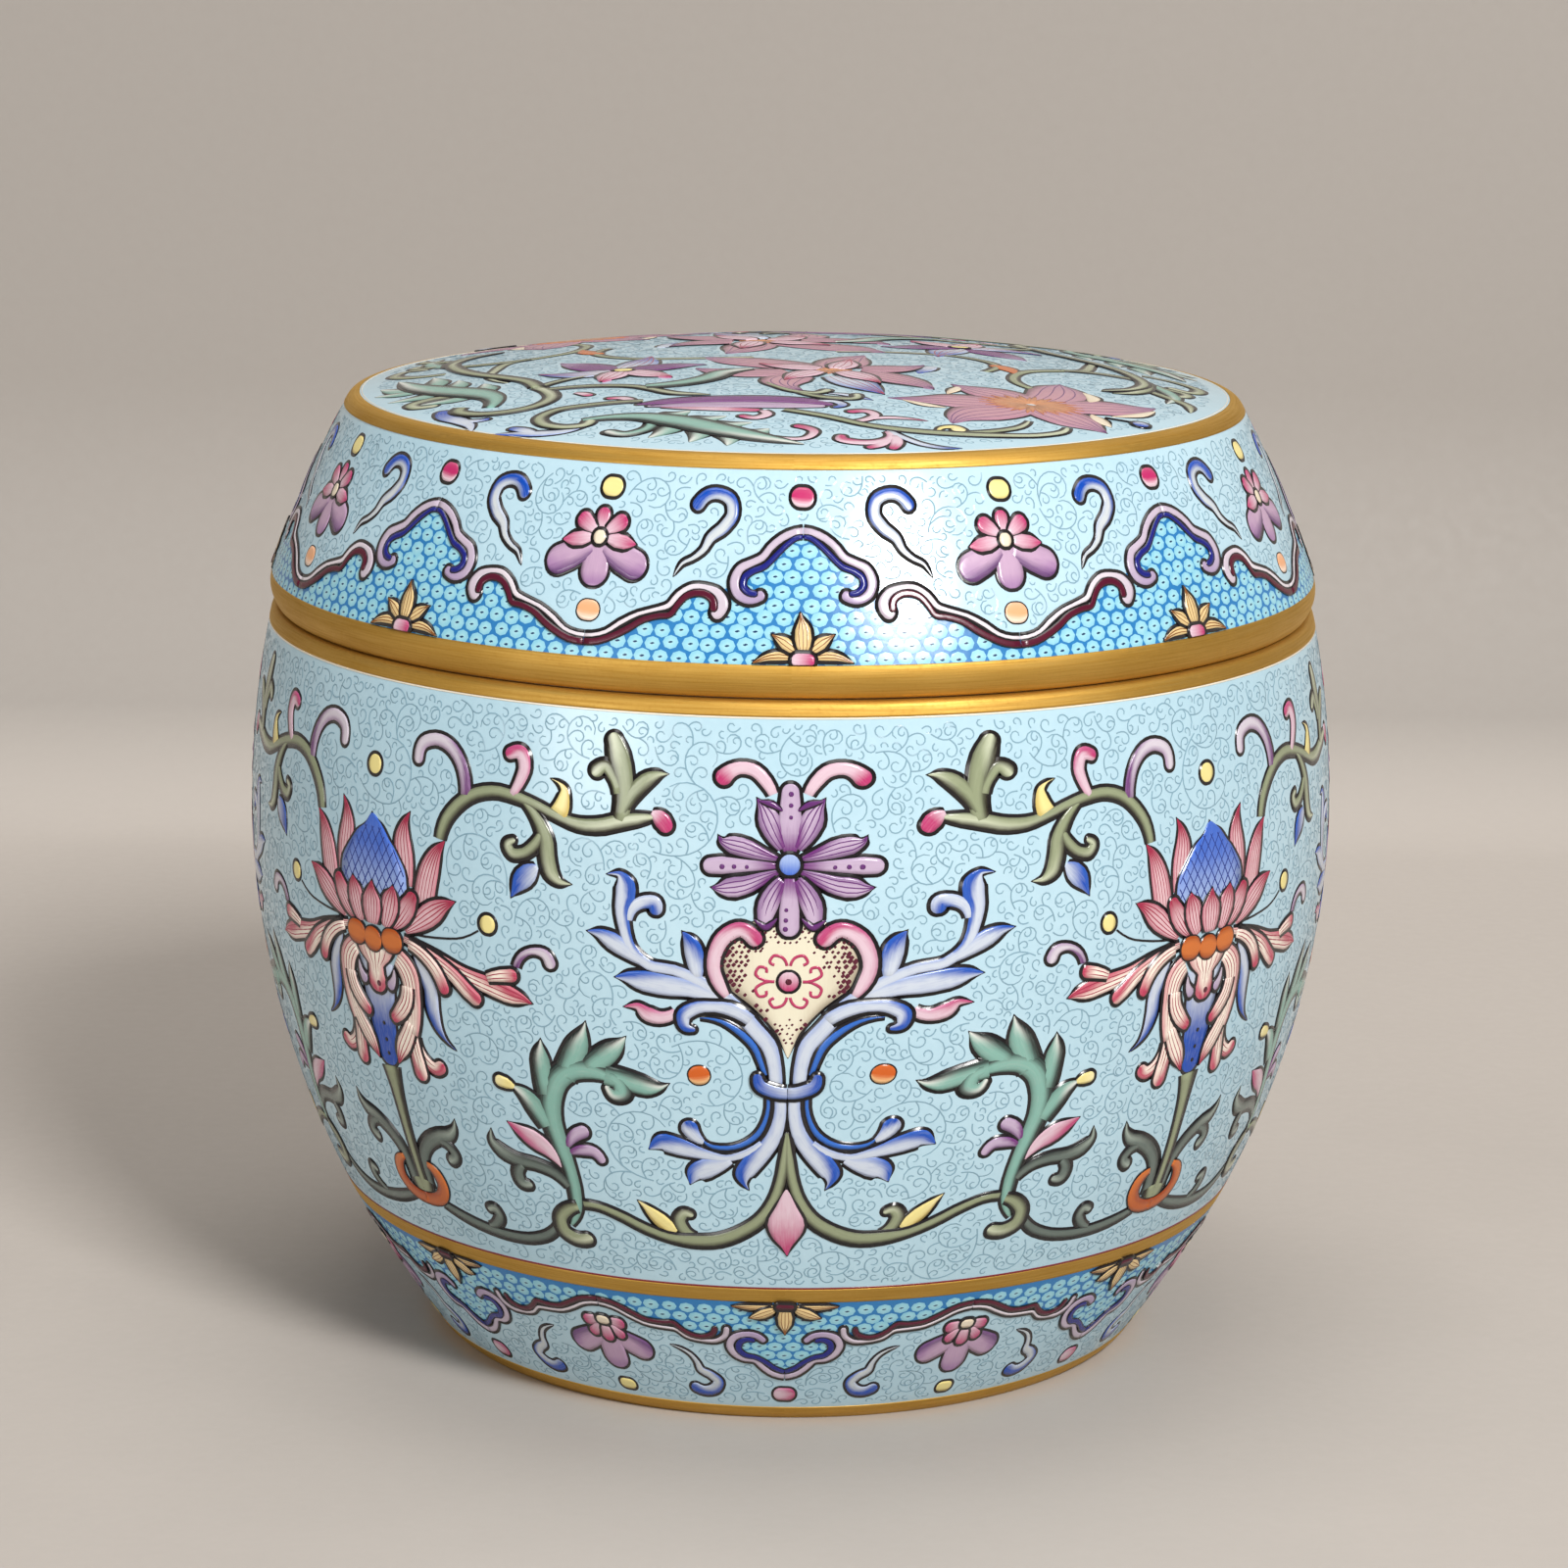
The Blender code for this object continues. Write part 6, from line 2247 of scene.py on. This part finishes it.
class JAR_OT_foot_border(bpy.types.Operator):
    """Paint the hanging border with its honeycomb round the foot"""

    bl_idname = "jar.foot_border"
    bl_label = "Paint the foot's border"

    def execute(self, context):
        patterns = (
            (FOOT_HALF, FOOT_COPIES),
            (FOOT_RUYI, on_axes(FOOT_RUYI_ANGLES)),
            (FOOT_FLOWER, on_axes(FOOT_FLOWER_ANGLES)),
        )
        paint_border(context, "foot", FOOT_ZONE, patterns, FOOT_HALF_PERIOD, FOOT_SHEET_LOW, FOOT_SHEET_OUTER)
        return {"FINISHED"}


class JAR_OT_lid_top(bpy.types.Operator):
    """Paint the flowers and leaves on the lid's top"""

    bl_idname = "jar.lid_top"
    bl_label = "Paint the lid's top"

    def execute(self, context):
        size = (2 * TOP_MASK_RADIUS, 2 * TOP_MASK_RADIUS)
        relief = context.scene.jar_relief
        painting = Painting("lid_top", place_on_top, turn_over, on_disc, size, relief)
        turns = Copies(np.array([0.0, math.pi]), np.ones(2), np.zeros((2, 2)))
        painting.paint(TOP_HALF, turns, 1.0)
        painting.build(finishes(context))
        PAINTINGS["lid_top"] = painting
        return {"FINISHED"}


# Each wall's bare ground: from where to where up the wall it is scratched, and its seed.
GROUND_STRETCHES = (
    ("body", BODY_ZONE, 1.7, 85.2, 31),
    ("lid_side", LID_ZONE, 0.5, 26.0, 32),
    ("foot", FOOT_ZONE, 3.1, 25.8, 33),
)
TOP_GROUND_RADIUS = 61.3


class JAR_OT_needlework(bpy.types.Operator):
    """Scratch branching scrolls into the turquoise ground wherever it is bare"""

    bl_idname = "jar.needlework"
    bl_label = "Scratch the ground"

    def execute(self, context):
        finish = finishes(context)
        half = context.scene.jar_relief.needle_width / MM / 2
        for name, zone, low, high, seed in GROUND_STRETCHES:
            covered = PAINTINGS[name].covered.copy()
            rows = np.arange(len(covered)) * Painting.MASK_STEP
            covered[(rows < low) | (rows > high)] = True
            starts = grow_scrolls(covered, Painting.MASK_STEP, zone.narrowing, True, seed)
            scratch(f"{name}_needlework", starts, zone.narrowing, half, finish["needle"], zone_points(zone))
        covered = PAINTINGS["lid_top"].covered.copy()
        rows, columns = (np.arange(size) * Painting.MASK_STEP - TOP_MASK_RADIUS for size in covered.shape)
        covered[np.hypot(rows[:, None], columns[None]) > TOP_GROUND_RADIUS] = True
        starts = grow_scrolls(covered, Painting.MASK_STEP, even_width, False, 34)
        scratch("lid_top_needlework", starts, even_width, half, finish["needle"], disc_points)
        return {"FINISHED"}


# The camera stands where the photograph was taken from. Its angles are in degrees.
CAMERA_PLACE = (0.0, -0.66345, 0.2301)
CAMERA_DOWN = 12.694
CAMERA_ROLL = 0.582
CAMERA_TURN = 0.086
FOCAL_PX = 4637.75
SENSOR_MM = 36.0
LIGHT_COLOUR = (1.0, 0.985, 0.965)


class JAR_OT_studio(bpy.types.Operator):
    """Set up the camera, the paper backdrop and the soft lights"""

    bl_idname = "jar.studio"
    bl_label = "Set up the studio"

    def execute(self, context):
        scene = context.scene
        stage = scene.jar_stage
        make_camera(scene)
        make_backdrop(stage)
        soft_light("key", (0.62, -1.25, 1.1), (0, 0, 0.08), stage.key, 0.4)
        soft_light("fill", (-1.1, -1.3, 0.36), (0, 0, 0.07), stage.fill, 0.7)
        soft_light("top", (0, 0.1, 1.6), (0, 0, 0.05), stage.top, 0.9)
        world = bpy.data.worlds.new("studio")
        world.use_nodes = True
        background = world.node_tree.nodes["Background"]
        background.inputs["Color"].default_value = (*LIGHT_COLOUR, 1)
        background.inputs["Strength"].default_value = stage.sky
        scene.world = world
        scene.view_settings.view_transform = "Standard"
        return {"FINISHED"}


def make_camera(scene):
    """A camera whose axes are the level ones, turned, tipped down and rolled in that order."""
    down, roll, turn = (math.radians(a) for a in (CAMERA_DOWN, CAMERA_ROLL, CAMERA_TURN))
    right = np.array([math.cos(turn), math.sin(turn), 0])
    level = np.array([-math.sin(turn), math.cos(turn), 0])
    upright = np.array([0, 0, 1.0])
    ahead = level * math.cos(down) - upright * math.sin(down)
    above = level * math.sin(down) + upright * math.cos(down)
    matrix = np.eye(4)
    matrix[:3, 0] = right * math.cos(roll) + above * math.sin(roll)
    matrix[:3, 1] = above * math.cos(roll) - right * math.sin(roll)
    matrix[:3, 2] = -ahead
    matrix[:3, 3] = CAMERA_PLACE
    data = bpy.data.cameras.new("camera")
    data.sensor_width = SENSOR_MM
    data.lens = FOCAL_PX / FRAME_WIDTH_PX * SENSOR_MM
    camera = bpy.data.objects.new("camera", data)
    camera.matrix_world = Matrix(matrix.tolist())
    scene.collection.objects.link(camera)
    scene.camera = camera


def make_backdrop(stage):
    """Paper that runs level under the jar and bends up behind it, as one swept surface."""
    bend_start = 0.29
    bend = 0.09
    reach = 2.6
    angle = np.linspace(0, math.pi / 2, 17)[1:]
    level_y = np.linspace(-reach, bend_start, 12)
    rise = np.linspace(0.4, 2.4, 4)
    y = np.concatenate([level_y, bend_start + bend * np.sin(angle), np.full(4, bend_start + bend)])
    z = np.concatenate([np.zeros(12), bend * (1 - np.cos(angle)), rise])
    x = np.linspace(-reach, reach, 14)
    points = np.empty((len(y), len(x), 3))
    points[..., 0] = x[None]
    points[..., 1] = y[:, None]
    points[..., 2] = z[:, None]
    index = np.arange(points.shape[0] * points.shape[1]).reshape(points.shape[:2])
    faces = np.stack([index[:-1, :-1], index[:-1, 1:], index[1:, 1:], index[1:, :-1]], -1).reshape(-1, 4)
    mesh = bpy.data.meshes.new("backdrop")
    mesh.from_pydata(points.reshape(-1, 3).tolist(), [], faces.tolist())
    mesh.polygons.foreach_set("use_smooth", np.ones(len(faces), bool))
    material, tree, shader = new_material("backdrop paper")
    place = object_place(tree)
    grain = map_node(tree, noise_node(tree, place, 9.0, 6.0, 0.6), 0.3, 0.7, 0.0, 1.0)
    # The paper's colour holds painted light and shade: the back of the floor is painted lighter, and the
    # upright part is painted darker as shade. The darker grain tone is random and is not shade.
    darker, far_light, upright = (tuple(share * value for value in stage.floor) for share in (0.93, 1.14, 0.74))
    paper = mix_node(tree, grain, stage.floor, darker)
    split = tree.nodes.new("ShaderNodeSeparateXYZ")
    tree.links.new(place, split.inputs["Vector"])
    # Painted light towards the back of the floor, then painted shade on the upright paper.
    far = map_node(tree, split.outputs["Y"], 0.0, bend_start + 0.01, 0.0, 1.0)
    paper = mix_node(tree, far, paper, far_light)
    wall_shade = map_node(tree, split.outputs["Z"], 0.0, 0.02, 0.0, 1.0)
    paper = mix_node(tree, wall_shade, paper, upright)
    tree.links.new(paper, shader.inputs["Base Color"])
    fibres = map_node(tree, noise_node(tree, place, 400.0, 4.0), 0.3, 0.7, 0.62, 0.8)
    tree.links.new(fibres, shader.inputs["Roughness"])
    # A camera behind the paper sees through its back, and the light doesn't change.
    sight = tree.nodes.new("ShaderNodeLightPath").outputs["Is Camera Ray"]
    back = tree.nodes.new("ShaderNodeNewGeometry").outputs["Backfacing"]
    seen = math_node(tree, "SUBTRACT", 1.0, times(tree, sight, back))
    tree.links.new(seen, shader.inputs["Alpha"])
    mesh.materials.append(material)
    backdrop = bpy.data.objects.new("backdrop", mesh)
    bpy.context.scene.collection.objects.link(backdrop)


def soft_light(name, place, target, power, size):
    """A square area light that faces a point."""
    data = bpy.data.lights.new(name, "AREA")
    data.energy = power
    data.size = size
    data.color = LIGHT_COLOUR
    light = bpy.data.objects.new(name, data)
    light.location = place
    ahead = np.array(target, float) - np.array(place, float)
    light.rotation_mode = "QUATERNION"
    light.rotation_quaternion = Vector(ahead.tolist()).to_track_quat("-Z", "Y")
    bpy.context.scene.collection.objects.link(light)


STEPS = (
    JAR_OT_porcelain,
    JAR_OT_gilding,
    JAR_OT_body_painting,
    JAR_OT_lid_border,
    JAR_OT_foot_border,
    JAR_OT_lid_top,
    JAR_OT_needlework,
    JAR_OT_studio,
)


class JAR_PT_sidebar(bpy.types.Panel):
    """Lists the steps that make the jar, in their order"""

    bl_idname = "JAR_PT_sidebar"
    bl_label = "Painted lidded jar"
    bl_space_type = "VIEW_3D"
    bl_region_type = "UI"
    bl_category = "Jar"

    def draw(self, context):
        scene = context.scene
        for step in STEPS:
            self.layout.operator(step.bl_idname)
        for settings in (scene.jar_relief, scene.jar_glazes, scene.jar_stage, scene.jar_enamels):
            box = self.layout.box()
            for name in settings.__annotations__:
                box.prop(settings, name)


SETTINGS = {
    "jar_enamels": JarEnamels,
    "jar_glazes": JarGlazes,
    "jar_relief": JarRelief,
    "jar_stage": JarStage,
}


def register():
    """Registers the settings, the steps and the panel."""
    for name, group in SETTINGS.items():
        bpy.utils.register_class(group)
        setattr(bpy.types.Scene, name, bpy.props.PointerProperty(type=group))
    for cls in (*STEPS, JAR_PT_sidebar):
        bpy.utils.register_class(cls)


def unregister():
    """Takes everything that register added away again."""
    for cls in (JAR_PT_sidebar, *reversed(STEPS)):
        bpy.utils.unregister_class(cls)
    for name, group in SETTINGS.items():
        delattr(bpy.types.Scene, name)
        bpy.utils.unregister_class(group)


def main():
    """Makes the jar step by step."""
    register()
    bpy.ops.jar.porcelain()
    bpy.ops.jar.gilding()
    bpy.ops.jar.body_painting()
    bpy.ops.jar.lid_border()
    bpy.ops.jar.foot_border()
    bpy.ops.jar.lid_top()
    bpy.ops.jar.needlework()
    bpy.ops.jar.studio()


if __name__ == "__main__":
    main()
